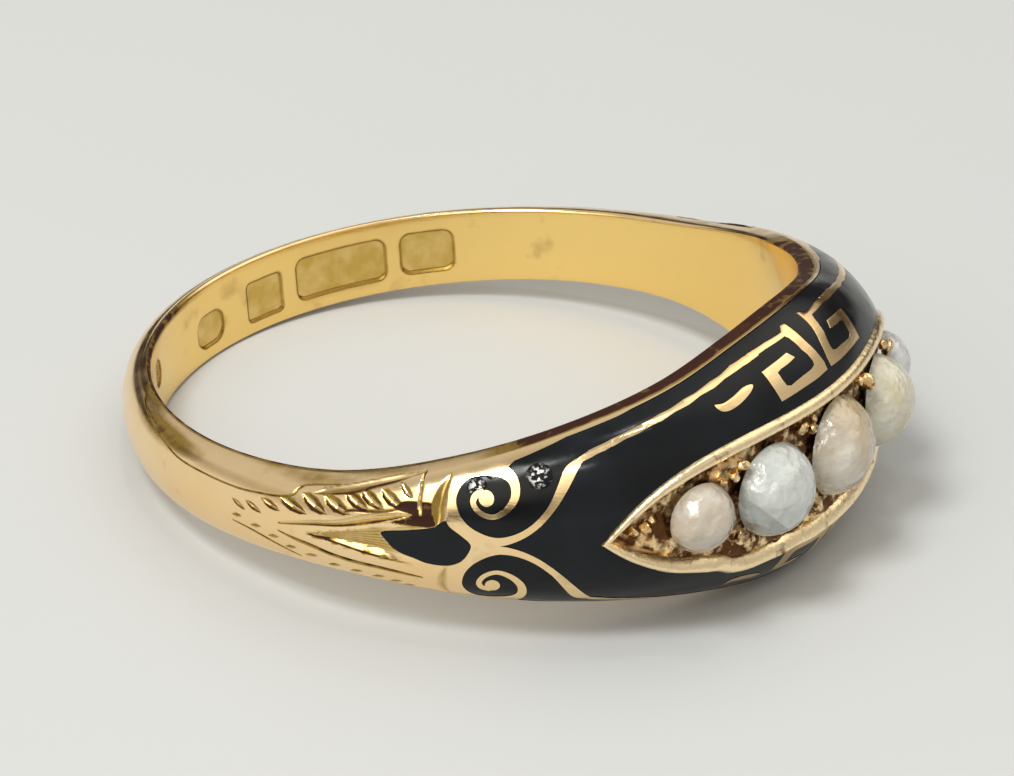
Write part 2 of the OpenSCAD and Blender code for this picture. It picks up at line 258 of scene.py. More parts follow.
# Least jump of angle or place at the seam of the band's grid, cuts that refine a face, the
# refined strip beside a stroke, and the middle and reach of that along a punch mark's edge
SEAM = 10
CUTS = 3
STROKE_STRIP = 0.07
PUNCH_STRIP = (0.04, 0.12)

# Engraved reach of the shank in degrees and across, its millimetres per degree, rays of the
# fan-shaped cut, strokes that lie over the pits, and a distance past any edge
ENGRAVED_FROM = 58
ENGRAVED_TO = 136
ENGRAVED_HALF = 2.4
ARC = math.pi / 180 * 9.75
FAN_RAYS = 7
OVER_PITS = ("collar", "olive")
FAR = 9.0

# A gouge mark along its length: share of the length, half width and depth
GOUGE = [(0, 0.015, 0.004), (0.25, 0.8, 0.5), (0.5, 1, 0.75), (0.78, 0.7, 0.5), (1, 0.015, 0.004)]

# Width of the head's rim that soil and painted dark reflection leave clean, and their strength on
# its far side
CLEAN_RIM = 0.08
FAR_RIM_SOIL_AND_REFLECTION = 0.9

# Enamel: depth of its cells, its thickness, the gap round it, how low its surface lies, the
# angle up to which the head has it, and how far above the surface a cell's tool starts
ENAMEL_DEPTH = 0.3
ENAMEL_THICK = 0.28
SEAT_GAP = 0.012
ENAMEL_SINK = 0.012
ENAMEL_END = 62
CELL_TOP = -0.2

# Grids of the head's layer and of a drop's layer, the angles between which a drop's layer
# lies, and how far it reaches from the crown line in degrees
HEAD_GRID = (240, 72)
DROP_GRID = (72, 60)
DROP_REACH = (53, 75)
DROP_HALF = 55

# Radii between which the cutting tools reach
PRISM_LOW = HOLE_R - 0.6
PRISM_HIGH = HOLE_R + 3.6

# Pearl setting: radius of its well and how far that lies inside the outline, shift of the
# points for each millimetre inwards, half width at a point, power of the outline's curve,
# highest floor and its least depth, the floor's thickness, and the wider lower side
# with its step
WELL_R = HOLE_R + 1.3
WELL_INSET = 0.15
TIP_SHIFT = 5.0
TIP_HALF = 0.004
OUTLINE_POWER = 4.45
FLOOR_R = HOLE_R + 2.05
FLOOR_DEPTH = 0.42
FLOOR_THICK = 0.15
LOW_LEDGE = 0.12
LEDGE_STEP = 0.6

# Rough floor: its grid, how much it is shorter at each end and narrower, its waves and their
# height
FLOOR_GRID = (260, 44)
FLOOR_SHORT = 1.2
FLOOR_INSET = 0.2
FLOOR_WAVES = 14
FLOOR_ROUGH = 0.018

# Pearls: light tint, warm tint, then the direction, start, end and tint of a painted shade on one
# side
NACRE = {
    "pearl_1": ((0.50, 0.47, 0.40), (0.43, 0.35, 0.26),
                (0.30, -0.35, -0.89), 0.55, 0.95, (0.36, 0.27, 0.18)),
    "pearl_2": ((0.53, 0.56, 0.54), (0.43, 0.45, 0.42),
                (-0.622, 0.276, -0.726), 0.52, 0.56, (0.28, 0.30, 0.28)),
    "pearl_3": ((0.56, 0.52, 0.44), (0.47, 0.38, 0.26),
                (0.50, -0.30, 0.81), 0.35, 0.75, (0.44, 0.34, 0.20)),
    "pearl_4": ((0.58, 0.56, 0.46), (0.49, 0.44, 0.30),
                (0.30, -0.35, -0.89), 0.5, 0.95, (0.40, 0.34, 0.20)),
    "pearl_5": ((0.56, 0.57, 0.58), (0.50, 0.49, 0.47),
                (0.30, -0.35, -0.89), 0.5, 0.95, (0.33, 0.30, 0.27)),
}

# Room round the ring: its colours from the horizon up, then patches of it, each with the
# direction it lies in, where it starts and is full, and its colour
ROOM = [
    (0.0, (0.62, 0.59, 0.54)), (0.2, (0.46, 0.44, 0.41)), (0.42, (0.56, 0.54, 0.51)),
    (0.6, (0.66, 0.65, 0.63)), (0.8, (0.58, 0.58, 0.57)), (1.0, (0.36, 0.36, 0.37)),
]
FAR_WALL = (0.045, 0.03, 0.022)
PATCHES = [
    ((-0.952, -0.289, 0.1), 0.94, 0.98, (0.02, 0.014, 0.012)),
    ((0.54, -0.20, 0.818), 0.80, 0.97, (1.6, 1.5, 1.3)),
    ((-0.80, -0.03, 0.60), 0.86, 0.97, (2.3, 2.2, 1.95)),
]

# Lights: name, place in metres, size in metres, watts
LIGHTS = [
    ("window_light", (-0.181, 0.017, 0.310), 0.10, 0.85),
    ("lamp_left", (-0.182, -0.130, 0.266), 0.02, 0.03),
    ("lamp_above", (0.010, 0.0, 0.350), 0.02, 0.06),
]


def length(name, description, value):
    """A size that the sidebar shows in the scene's own units."""
    return bpy.props.FloatProperty(
        name=name, description=description, default=value, unit="LENGTH", min=0.0, precision=5
    )


def colour(name, description, value):
    """A colour that the sidebar shows as a swatch."""
    return bpy.props.FloatVectorProperty(
        name=name, description=description, default=value, subtype="COLOR", size=3,
        min=0.0, max=1.0,
    )


def bearing(name, description, value):
    """An angle, given in degrees."""
    return bpy.props.FloatProperty(
        name=name, description=description, default=math.radians(value), subtype="ANGLE"
    )


class RingSizes(bpy.types.PropertyGroup):
    """Sizes of the ring."""

    head_width: length("Head width", "Width of the head at its middle", 7.0 * MM)
    back_width: length("Back width", "Width of the shank at the back", 2.25 * MM)
    head_thickness: length("Head thickness", "Thickness of the head at its crown", 2.48 * MM)
    back_thickness: length("Back thickness", "Thickness of the shank at the back", 0.85 * MM)
    inner_edge: length("Inner edge", "Rounding of the finger hole's edges", 0.09 * MM)
    setting_width: length("Setting width", "Width of the pearl setting", 3.6 * MM)
    setting_sag: length("Setting sag", "Drop of the setting's points", 0.16 * MM)
    setting_angle: bearing(
        "Setting angle", "Angle from the middle to each point of the setting", 41.3
    )
    scroll_angle: bearing("Scroll angle", "Angle from the middle to the scrolls' eyes", 56.4)
    key_angle: bearing("Key angle", "Angle from the middle to each Greek key", 6.3)
    comma_angle: bearing("Comma angle", "Angle from the middle to each comma", 18.3)


class RingFinish(bpy.types.PropertyGroup):
    """Colours of the ring."""

    # Gold and hole gold are copies of one gold: paler outside, where the light is bright, and
    # deeper in the finger hole to paint the light bounced between its walls
    gold: colour("Gold", "Polished gold of the band", (0.96, 0.72, 0.40))
    hole_gold_painted_bounce: colour("Hole gold", "Gold of the finger hole", (0.96, 0.68, 0.24))
    brass: colour("Brass", "Brassy gold in the punch marks", (0.62, 0.42, 0.10))
    # Olive is the first step of the soil and painted shade in the cuts and on the rims
    olive: colour("Olive", "Dull gold on the engraver's cuts", (0.44, 0.28, 0.06))
    # Soil: dark brown, used for real soil and for painted shade and dark reflections on the band
    soil_and_shade: colour("Soil", "Dark brown in the engraved lines", (0.035, 0.012, 0.007))
    pale_gold: colour("Pale gold", "Gold of the setting's border", (1.0, 0.80, 0.49))
    tarnish: colour("Tarnish", "Brown in the hollows of the gold", (0.12, 0.05, 0.018))
    enamel: colour("Enamel", "Black enamel", (0.006, 0.0065, 0.007))
    floor: colour("Floor", "Pale floor under the ring", (0.50, 0.51, 0.505))


class RingStage(bpy.types.PropertyGroup):
    """Where the camera stands."""

    azimuth: bearing("Azimuth", "Direction of the camera, from -Y towards -X", 60.06)
    elevation: bearing("Elevation", "Height of the camera above the horizon", 28.912)
    roll: bearing("Roll", "Turn of the picture about the view line", 3.46)
    distance: length("Distance", "From the camera to the point it looks at", 106.424 * MM)
    lens: bpy.props.FloatProperty(
        name="Lens", description="Focal length for a 36 mm wide sensor", default=139.55,
        unit="CAMERA",
    )
    target: bpy.props.FloatVectorProperty(
        name="Target", description="Point that the camera looks at", subtype="TRANSLATION",
        default=(0.260 * MM, 0.3045 * MM, 1.986 * MM), precision=5,
    )


def smooth(table, column, x):
    """Value of one column of a table along a smooth curve through its rows."""
    rows = np.array(table, float)
    xs = rows[:, 0]
    ys = rows[:, column]
    slopes = np.zeros(len(xs))
    slopes[1:-1] = (ys[2:] - ys[:-2]) / (xs[2:] - xs[:-2])
    x = np.clip(x, xs[0], xs[-1])
    i = np.clip(np.searchsorted(xs, x, side="right") - 1, 0, len(xs) - 2)
    step = xs[i + 1] - xs[i]
    s = (x - xs[i]) / step
    rise = (2 * s**3 - 3 * s**2 + 1) * ys[i] + (3 * s**2 - 2 * s**3) * ys[i + 1]
    bend = (s**3 - 2 * s**2 + s) * slopes[i] + (s**3 - s**2) * slopes[i + 1]
    return rise + step * bend


def straight(table, column, x):
    """Value of one column of a table along straight lines between its rows."""
    rows = np.array(table, float)
    return np.interp(x, rows[:, 0], rows[:, column])


def fold(a):
    """Angle from the middle of the head, the same on both sides."""
    return np.abs((np.asarray(a, float) + 180) % 360 - 180)


def size(name):
    """One of the ring's sizes in millimetres."""
    return getattr(bpy.context.scene.ring_sizes, name) / MM


def degrees_of(name):
    """One of the ring's angles in degrees."""
    return math.degrees(getattr(bpy.context.scene.ring_sizes, name))


def graded(a, column, back, head):
    """A size that grows from the back of the ring to its head."""
    least = size(back)
    return least + (size(head) - least) * smooth(SECTIONS, column, fold(a))


def half_width(a):
    """Half width of the band at an angle."""
    return graded(a, 1, "back_width", "head_width") / 2


def thickness(a):
    """Thickness of the band at its crown."""
    return graded(a, 2, "back_thickness", "head_thickness")


def rim_width(a):
    """Width of the flat rim face."""
    return smooth(SECTIONS, 3, fold(a))


def rim_drop(a):
    """Drop of the rim face towards its outer edge."""
    return smooth(SECTIONS, 5, fold(a))


def round_point(a, r, z):
    """Place of angle a, radius r and height z."""
    t = np.radians(a)
    return np.stack(np.broadcast_arrays(-r * np.sin(t), -r * np.cos(t), z), axis=-1)


def dome_half(a):
    """Half width of the dome, up to where the rim face starts."""
    return half_width(a) - rim_drop(a)


def dome_end(a):
    """Where the dome gives way to the sloping rim face, in degrees from the crown."""
    return 90 - DOME_TURN * rim_drop(a)


def dome_radius(a, q, depth=0.0):
    """Radius of the dome at angle a, q radians from its crown, sunk by depth."""
    rim = rim_width(a)
    return HOLE_R + rim + (thickness(a) - rim - depth) * np.cos(q)


def dome(a, p, depth):
    """Point of the dome at angle a, p degrees from its crown, sunk by depth."""
    q = np.radians(p)
    return round_point(a, dome_radius(a, q, depth), (dome_half(a) - depth) * np.sin(q))


def setting_tip(inset):
    """Angle of the setting's points, when its outline is moved inwards."""
    return degrees_of("setting_angle") - TIP_SHIFT * inset


def setting_share(a, inset):
    """How far angle a lies from the setting's middle towards its point, up to 1."""
    return np.minimum(np.abs(a) / setting_tip(inset), 1)


def setting_half(share, inset):
    """Half width of the setting's outline, moved inwards, at a share of its length."""
    return TIP_HALF + (size("setting_width") / 2 - inset) * (1 - share**OUTLINE_POWER)


def setting_middle(a):
    """Height of the setting's middle line, which sags towards its points."""
    return -size("setting_sag") * (np.abs(a) / degrees_of("setting_angle")) ** 5


def low_ledge(share):
    """How much wider the setting is below than above, at a share of its length."""
    waves = 1 + 0.25 * np.sin(17 * share) + 0.15 * np.sin(41 * share + 1)
    step = np.clip((LEDGE_STEP - share) / 0.06, 0, 1)
    return LOW_LEDGE * (np.maximum(1 - share**2, 0) * waves + 1.6 * step)


def floor_radius(a):
    """Radius of the setting's floor, lower where the band is thin."""
    return np.minimum(FLOOR_R, HOLE_R + thickness(a) - FLOOR_DEPTH)


def curve_through(points, closed=False):
    """Points along a smooth curve through rows of numbers."""
    rows = np.array(points, float)
    n = len(rows)
    out = []
    for i in range(n if closed else n - 1):
        near = np.arange(i - 1, i + 3)
        near = near % n if closed else np.clip(near, 0, n - 1)
        before, here, there, after = rows[near]
        for step in range(CURVE_STEPS):
            t = step / CURVE_STEPS
            out.append(
                0.5 * (2 * here + (there - before) * t
                       + (2 * before - 5 * here + 4 * there - after) * t**2
                       + (3 * here - before - 3 * there + after) * t**3)
            )
    if not closed:
        out.append(rows[-1])
    return np.array(out)


def ribbon(rows):
    """Left and right edges of a stroke that follows rows of x, z and width."""
    rows = np.asarray(rows, float)
    along = np.gradient(rows[:, :2], axis=0)
    along /= np.linalg.norm(along, axis=1)[:, None]
    across = np.stack([-along[:, 1], along[:, 0]], axis=1) * rows[:, 2:] / 2
    return rows[:, :2] + across, rows[:, :2] - across


def start_alone():
    """Deselects everything, so that an operator acts only on what is added next."""
    if bpy.context.object and bpy.context.object.mode != "OBJECT":
        bpy.ops.object.mode_set(mode="OBJECT")
    bpy.ops.object.select_all(action="DESELECT")


def take(piece):
    """Makes one piece the only selected one and the active one."""
    start_alone()
    piece.select_set(True)
    bpy.context.view_layer.objects.active = piece


def put_points(piece, points):
    """Moves a mesh's vertices to points in millimetres."""
    piece.data.vertices.foreach_set("co", (np.asarray(points) * MM).ravel())
    piece.data.update()


def read_points(piece):
    """A mesh's vertices in millimetres."""
    flat = np.empty(len(piece.data.vertices) * 3)
    piece.data.vertices.foreach_get("co", flat)
    return flat.reshape(-1, 3) / MM


def edit_all(piece):
    """Opens a piece in edit mode with all of it selected."""
    take(piece)
    bpy.ops.object.mode_set(mode="EDIT")
    bpy.ops.mesh.select_all(action="SELECT")


def outward(piece):
    """Turns all faces outwards."""
    edit_all(piece)
    bpy.ops.mesh.normals_make_consistent(inside=False)
    bpy.ops.object.mode_set(mode="OBJECT")


def drop_strays(piece):
    """Deletes faces that lie twice in the same place, and any that this leaves loose."""
    piece.data.validate()
    edit_all(piece)
    bpy.ops.mesh.select_mode(type="EDGE")
    bpy.ops.mesh.select_all(action="DESELECT")
    bpy.ops.mesh.select_non_manifold(
        extend=False, use_multi_face=False, use_non_contiguous=False, use_verts=False
    )
    bpy.ops.mesh.delete(type="EDGE")
    bpy.ops.mesh.select_mode(type="VERT")
    bpy.ops.object.mode_set(mode="OBJECT")


def sheet_of(name, columns, rows, place):
    """A grid laid where place(u, v) says, with u and v from 0 to 1."""
    start_alone()
    bpy.ops.mesh.primitive_grid_add(x_subdivisions=columns, y_subdivisions=rows, size=2)
    piece = bpy.context.object
    piece.name = name
    flat = read_points(piece) * MM
    put_points(piece, place((flat[:, 0] + 1) / 2, (flat[:, 1] + 1) / 2))
    return piece


def rolled(name, points, marks=()):
    """A grid rolled both ways into a closed ring of sections, at points[section, place].

    Each mark holds a name and a number for every section and place.
    """
    around, across = points.shape[:2]
    where = []

    def place(u, v):
        i = np.rint(u * around).astype(int) % around
        j = np.rint(v * across).astype(int) % across
        where.extend((i, j))
        return points[i, j]

    piece = sheet_of(name, around, across, place)
    for mark, numbers in marks:
        put_mark(piece, mark, numbers[where[0], where[1]])
    edit_all(piece)
    bpy.ops.mesh.remove_doubles(threshold=0.0005 * MM)
    bpy.ops.object.mode_set(mode="OBJECT")
    outward(piece)
    return piece


def put_mark(piece, name, numbers):
    """Stores a number at every vertex."""
    mark = piece.data.attributes.get(name) or piece.data.attributes.new(name, "FLOAT", "POINT")
    mark.data.foreach_set("value", np.asarray(numbers, float))


def read_mark(piece, name):
    """The numbers stored at the vertices."""
    numbers = np.empty(len(piece.data.vertices))
    piece.data.attributes[name].data.foreach_get("value", numbers)
    return numbers


def refine(piece, wanted):
    """Divides the faces for which wanted(around, across) holds at their middle.

    Faces across a seam, where the numbers start again, are left whole.
    """
    corners = np.empty(len(piece.data.loops), int)
    piece.data.loops.foreach_get("vertex_index", corners)
    first = np.empty(len(piece.data.polygons), int)
    piece.data.polygons.foreach_get("loop_start", first)
    middle = []
    whole = np.full(len(first), True)
    for name in ("around", "across"):
        numbers = read_mark(piece, name)[corners]
        low = np.minimum.reduceat(numbers, first)
        high = np.maximum.reduceat(numbers, first)
        middle.append((low + high) / 2)
        whole &= high - low < SEAM
    take(piece)
    bpy.ops.object.mode_set(mode="EDIT")
    bpy.ops.mesh.select_mode(type="FACE")
    bpy.ops.mesh.select_all(action="DESELECT")
    bpy.ops.object.mode_set(mode="OBJECT")
    piece.data.polygons.foreach_set("select", wanted(*middle) & whole)
    bpy.ops.object.mode_set(mode="EDIT")
    bpy.ops.mesh.subdivide(number_cuts=CUTS)
    bpy.ops.mesh.select_mode(type="VERT")
    bpy.ops.object.mode_set(mode="OBJECT")


def push_out(piece, angle, side):
    """Extrudes a flat pattern that faces outwards at an angle, straight out of the ring."""
    t = math.radians(angle)
    way = Vector((-math.sin(t) * side, -math.cos(t), 0)) * (PRISM_HIGH - PRISM_LOW)
    edit_all(piece)
    bpy.ops.mesh.extrude_region_move(TRANSFORM_OT_translate={"value": way * MM})
    bpy.ops.object.mode_set(mode="OBJECT")
    outward(piece)


def spread_out(piece, low):
    """Extrudes a sheet that lies round the hole at radius low, away from the axis."""
    edit_all(piece)
    bpy.ops.mesh.extrude_region()
    far = PRISM_HIGH / low
    bpy.ops.transform.resize(value=(far, far, 1), center_override=(0, 0, 0))
    bpy.ops.object.mode_set(mode="OBJECT")
    outward(piece)


def facing(angle, x, z, r):
    """Point x and z of a flat pattern that faces outwards at an angle, r from the axis."""
    t = math.radians(angle)
    return np.stack(np.broadcast_arrays(
        x * math.cos(t) - r * math.sin(t), -x * math.sin(t) - r * math.cos(t), z), axis=-1)


def prism(name, outline, angle, side, edge, grow):
    """A flat outline pushed straight out of the ring, mirrored by side and edge."""
    points = np.asarray(outline, float) * (1, edge)
    if grow:
        points = grown(points, grow)
    start_alone()
    bpy.ops.mesh.primitive_circle_add(vertices=len(points), fill_type="NGON", radius=MM)
    piece = bpy.context.object
    piece.name = name
    put_points(piece, facing(angle, points[:, 0], points[:, 1], PRISM_LOW) * (side, 1, 1))
    push_out(piece, angle, side)
    return piece


def grown(points, distance):
    """An outline moved outwards by a distance."""
    after = np.roll(points, -1, axis=0)
    turned = after - points
    area = np.sum(points[:, 0] * after[:, 1] - after[:, 0] * points[:, 1])
    normal = np.stack([turned[:, 1], -turned[:, 0]], axis=1) * np.sign(area)
    normal /= np.linalg.norm(normal, axis=1)[:, None]
    both = normal + np.roll(normal, 1, axis=0)
    both /= np.maximum(np.sum(both * normal, axis=1), 0.5)[:, None]
    return points + both * distance


def joined(name, pieces):
    """Several pieces as one."""
    start_alone()
    for piece in pieces:
        piece.select_set(True)
    bpy.context.view_layer.objects.active = pieces[0]
    bpy.ops.object.join()
    whole = bpy.context.object
    whole.name = name
    return whole


def cut(piece, tool, operation="DIFFERENCE"):
    """Cuts a piece with a tool, or keeps only what they share, and deletes the tool."""
    take(piece)
    knife = piece.modifiers.new("cut", "BOOLEAN")
    knife.operation = operation
    knife.solver = "MANIFOLD"
    knife.object = tool
    bpy.ops.object.modifier_apply(modifier=knife.name)
    take(tool)
    bpy.ops.object.delete()


def finish_piece(piece, material, sharp=50.0, replaces=()):
    """Lays a finished piece down as the ring rests, with its finish and its body."""
    piece.data.transform(LAID_DOWN)
    take(piece)
    bpy.ops.object.shade_smooth_by_angle(angle=math.radians(sharp))
    piece.data.materials.clear()
    piece.data.materials.append(material)
    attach(piece, "root")
    if replaces:
        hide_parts(*replaces)


def stroke(x, h, rows):
    """Place across an engraved stroke, from -1 to 1, its depth and the distance to its edge."""
    place = np.full(x.shape, FAR)
    depth = np.zeros(x.shape)
    nearest = np.full(x.shape, FAR)
    for (x0, h0, w0, d0), (x1, h1, w1, d1) in zip(rows[:-1], rows[1:]):
        dx = x1 - x0
        dh = h1 - h0
        along = np.clip(((x - x0) * dx + (h - h0) * dh) / (dx * dx + dh * dh), 0, 1)
        up = h - h0 - along * dh
        away = np.hypot(x - x0 - along * dx, up)
        width = w0 + along * (w1 - w0)
        share = away / width
        closer = share < np.abs(place)
        side = np.where(np.abs(dh) > 2 * np.abs(dx), x0 + along * dx - x, up)
        place = np.where(closer, share * np.where(side < 0, -1, 1), place)
        deep = (d0 + along * (d1 - d0)) * np.maximum(1 - share**2, 0) ** 1.5
        depth = np.maximum(depth, deep)
        nearest = np.minimum(nearest, away - width)
    return place, depth, nearest


def gouge_rows(from_angle, from_height, to_angle, to_height, width):
    """Rows of a lens-shaped gouge mark between two ends."""
    ends = np.array([(from_angle * ARC, from_height), (to_angle * ARC, to_height)])
    rows = []
    for share, wide, deep in GOUGE:
        spot = ends[0] + (ends[1] - ends[0]) * share
        if 0 < share < 1:
            wide *= width
            deep *= width
        rows.append((*spot, wide, deep))
    return np.array(rows)


def shoulder_strokes():
    """Kind and rows of all strokes of a shoulder, in millimetres along it and across it."""
    strokes = [(kind, curve_through([(row[0] * ARC, *row[1:]) for row in groove]))
               for kind, groove in GROOVES]
    strokes += [("mark", gouge_rows(*row)) for row in WHEAT]
    for angle, height in BEADING:
        x = angle * ARC
        strokes.append(("bead", np.array([
            (x + 0.14, height - 0.02, 0.03, 0.008), (x, height, 0.065, 0.035),
            (x - 0.14, height + 0.02, 0.03, 0.008)])))
    return strokes


def fan_cut(a, h):
    """Depth and painted shade of the cut between the leaves: a gentle fan above a steep lower
    wall.
    """
    upper, bottom, lower, deep = (straight(FAN, k, a) for k in (1, 2, 3, 4))
    down = np.clip((upper - h) / (upper - bottom), 0, 1)
    rise = np.clip((h - lower) / (bottom - lower), 0, 1)
    rays = np.cos(down * 2 * math.pi * FAN_RAYS) * (down > 0.02) * (down < 0.98)
    depth = deep * np.minimum(down, rise) * (1 + 0.05 * rays)
    inside = (a > FAN[0][0]) & (a < FAN[-1][0]) & (h < upper) & (h > lower - 0.02)
    # Painted shade: hatched on the fan, a dark line along its lower edge, and the wall near its
    # tip
    hatched = 0.36 + 0.14 * rays
    edge = np.clip(1.6 - np.abs(h - lower - 0.01) / 0.022, 0, 1) * np.clip((a - 67) / 4, 0, 1)
    tip = np.clip((a - 78) / 2, 0, 1)
    soil_and_shade = np.where(h > bottom, hatched, tip) * inside
    soil_and_shade = np.maximum(soil_and_shade, edge * inside)
    return depth, soil_and_shade


def engraved(a, h):
    """Depth of the engraving on the shank, its soil and painted shade, and the distance to its
    edges.
    """
    a, h = np.broadcast_arrays(fold(a), h)
    depth = np.zeros(a.shape)
    soil_and_shade = np.zeros(a.shape)
    edge = np.full(a.shape, FAR)
    near = (a > ENGRAVED_FROM) & (a < ENGRAVED_TO) & (np.abs(h) < ENGRAVED_HALF)
    x = a[near] * ARC
    up = h[near]
    found, darkened = fan_cut(a[near], up)
    reach = np.where(darkened > 0, 0.0, FAR)
    for kind, rows in shoulder_strokes():
        place, deep, away = stroke(x, up, rows)
        found = np.maximum(found, deep)
        reach = np.minimum(reach, away)
        tone = straight(SOIL_AND_SHADE[kind], 1, place)
        over = (np.abs(place) < 1) & (kind in OVER_PITS)
        darkened = np.where(over, tone, np.maximum(darkened, tone))
    depth[near] = found
    soil_and_shade[near] = darkened
    edge[near] = reach
    return depth, soil_and_shade, edge


def punched(a, z):
    """How far each point of the wall lies inside a blank punch mark, in millimetres."""
    inside = np.full(np.broadcast(a, z).shape, -FAR)
    for angle, height, reach, tall, corner in PUNCHES:
        dx = np.abs(a - angle) * math.radians(HOLE_R)
        dz = np.abs(z - height)
        wide = reach * math.radians(HOLE_R)
        out = np.hypot(np.maximum(dx - wide + corner, 0), np.maximum(dz - tall + corner, 0))
        edge = np.where((dx > wide - corner) & (dz > tall - corner), out - corner,
                        np.maximum(dx - wide, dz - tall))
        inside = np.maximum(inside, -edge)
    return inside


def outside_height(a, t):
    """Height of a place on the outside: z on the dome, then on along the rim face."""
    edge = size("inner_edge")
    end = dome_end(a)
    on_dome = dome_half(a) * np.sin(np.radians(np.clip(t, -90, 90) * end / 90))
    top = half_width(a) + rim_width(a) - edge
    return on_dome + np.clip(t - DOME_END, 0, 1) * (top - on_dome)


def wall_height(a, t):
    """Height of a place on the wall of the finger hole."""
    return (half_width(a) - size("inner_edge")) * (1 - 2 * np.clip(t - TURN_END, 0, 1))


def band_point(a, t):
    """Point of the band's surface at angle a and place t along its section.

    Along the section t goes over the dome from -90 to 90, then down the upper rim face,
    round the hole's edge, down the wall and back along the lower rim face.
    """
    edge = size("inner_edge")
    half = half_width(a)
    rim = rim_width(a)
    end = dome_end(a)
    q = np.radians(np.clip(t, -90, DOME_END) * end / 90)
    on_rim = np.clip(t - DOME_END, 0, 1)
    side = np.where(t > (TURN_END + WALL_END) / 2, -1, 1)
    low_rim = np.clip(t - LOW_TURN_END, 0, 1)
    depth = engraved(a, outside_height(a, t))[0]
    depth = np.where(t <= RIM_END, depth, 0)
    dome_r = dome_radius(a, q, depth)
    dome_z = (dome_half(a) - depth) * np.sin(q)
    rim_out = rim + (thickness(a) - rim) * np.cos(np.radians(end))
    out = np.where(side > 0, 1 - on_rim, low_rim)
    rim_r = HOLE_R + edge + (rim_out - edge) * out
    drop = half - dome_half(a) * np.sin(np.radians(end))
    rim_z = half - drop * out**1.5
    turn = np.where(side > 0, np.clip(t - RIM_END, 0, 1), 1 - np.clip(t - WALL_END, 0, 1))
    turn_r = HOLE_R + edge * (1 - np.sin(turn * math.pi / 2))
    turn_z = side * (half - edge * (1 - np.cos(turn * math.pi / 2)))
    wall_z = wall_height(a, t)
    wall_r = HOLE_R + PUNCH_DEPTH * np.clip(punched(a, wall_z) / PUNCH_WALL, 0, 1)
    steps = [t <= DOME_END, t <= RIM_END, t <= TURN_END, t <= WALL_END, t <= LOW_TURN_END]
    r = np.select(steps, [dome_r, rim_r, turn_r, wall_r, turn_r], rim_r)
    z = np.select(steps, [dome_z, rim_z - depth, turn_z, wall_z, turn_z], -rim_z)
    return round_point(a, r, z)


def near_engraving(a, t):
    """Says which faces of the band's outside carry engraving."""
    return (t < RIM_END) & (engraved(a, outside_height(a, t))[2] < STROKE_STRIP)


def near_punches(a, t):
    """Says which faces of the wall carry the edge of a punch mark."""
    middle, reach = PUNCH_STRIP
    on_edge = np.abs(punched(a, wall_height(a, t)) - middle) < reach
    return (t > TURN_END) & (t < WALL_END) & on_edge


def gold_body():
    """The band as one smooth solid, engraved outside and punched inside."""
    half = np.concatenate([np.arange(*step) for step in SECTION_STEPS])
    angles = np.concatenate([half, [180], 360 - half[:0:-1]])
    parts = [(-90, DOME_END, 46), (DOME_END, RIM_END, 6), (RIM_END, TURN_END, 5),
             (TURN_END, WALL_END, 15), (WALL_END, LOW_TURN_END, 5), (LOW_TURN_END, SECTION_END, 4)]
    places = np.concatenate([[-90], *(np.linspace(*part)[1:] for part in parts)])[:-1]
    a, t = np.meshgrid(angles, places, indexing="ij")
    band = rolled("gold_band", band_point(a, t), (("around", a), ("across", t)))
    refine(band, near_engraving)
    refine(band, near_punches)
    a = read_mark(band, "around")
    t = read_mark(band, "across")
    put_points(band, band_point(a, t))
    outward(band)
    mark_finish(band, a, t)
    return band


def mark_finish(piece, a, t):
    """Stores the gold's soil and painted shade: both in the engraving, soil and painted dark
    reflection on the head's rim face, a painted dark line along the near edge into the hole,
    stains and painted dark reflections on the shank, and a darker outline round each punch mark;
    also where it is brassy, and where it is the finger hole.
    """
    soil_and_shade = engraved(a, outside_height(a, t))[1] * (t <= RIM_END)
    edge = size("inner_edge")
    rim = rim_width(a)
    inwards = np.clip(t - DOME_END, 0, 1) * (rim - edge)
    inwards -= (thickness(a) - rim) * np.cos(np.radians(np.clip(t, 0, DOME_END)))
    # Soil and painted dark reflection on the head's rim face, weaker on the far side
    head = np.clip((ENGRAVED_FROM - fold(a)) / 8, 0, 1)
    head = np.where(a > 180, FAR_RIM_SOIL_AND_REFLECTION, 1) * head
    rim_soil_and_reflection = np.clip((inwards + CLEAN_RIM) / 0.04, 0, 1) * (t > 0) * (t < TURN_END) * head
    # Painted shade: a dark line along the near side's edge into the finger hole
    near_side = np.clip(np.minimum(a, 180 - a) / 15, 0, 1)
    edge_painted_shade = np.clip((t - RIM_END + 0.15) / 0.15, 0, 1) * (t < TURN_END + 0.02) * near_side
    soil_and_shade = np.maximum.reduce([soil_and_shade, rim_soil_and_reflection, 0.9 * edge_painted_shade])
    # Stains and painted dark reflections on the shank
    for angle, height, along, across, amount in STAINS_AND_DARK_REFLECTIONS:
        away = np.hypot((a - angle) / along, (outside_height(a, t) - height) / across)
        soil_and_shade = np.maximum(soil_and_shade, amount * np.clip(1 - away, 0, 1) ** 0.7 * (t <= RIM_END))
    wall = (t > TURN_END - 0.3) & (t < WALL_END + 0.3)
    inside = punched(a, wall_height(a, t))
    field = np.clip(inside / 0.05, 0, 1) * wall
    outline = np.clip(1 - np.abs(inside - 0.03) / 0.07, 0, 1) * wall
    put_mark(piece, "soil_and_shade", np.maximum(soil_and_shade, outline * 0.7))
    put_mark(piece, "field", field)
    put_mark(piece, "hole", wall.astype(float))


def layer(name, top, thick, reach, limit, grid):
    """A layer of the dome over a reach of angles, from one depth inwards."""

    def place(u, v):
        a = reach[0] + (reach[1] - reach[0]) * u
        return dome(a, (2 * v - 1) * limit(a), top)

    piece = sheet_of(name, *grid, place)
    thicken(piece, thick)
    return piece


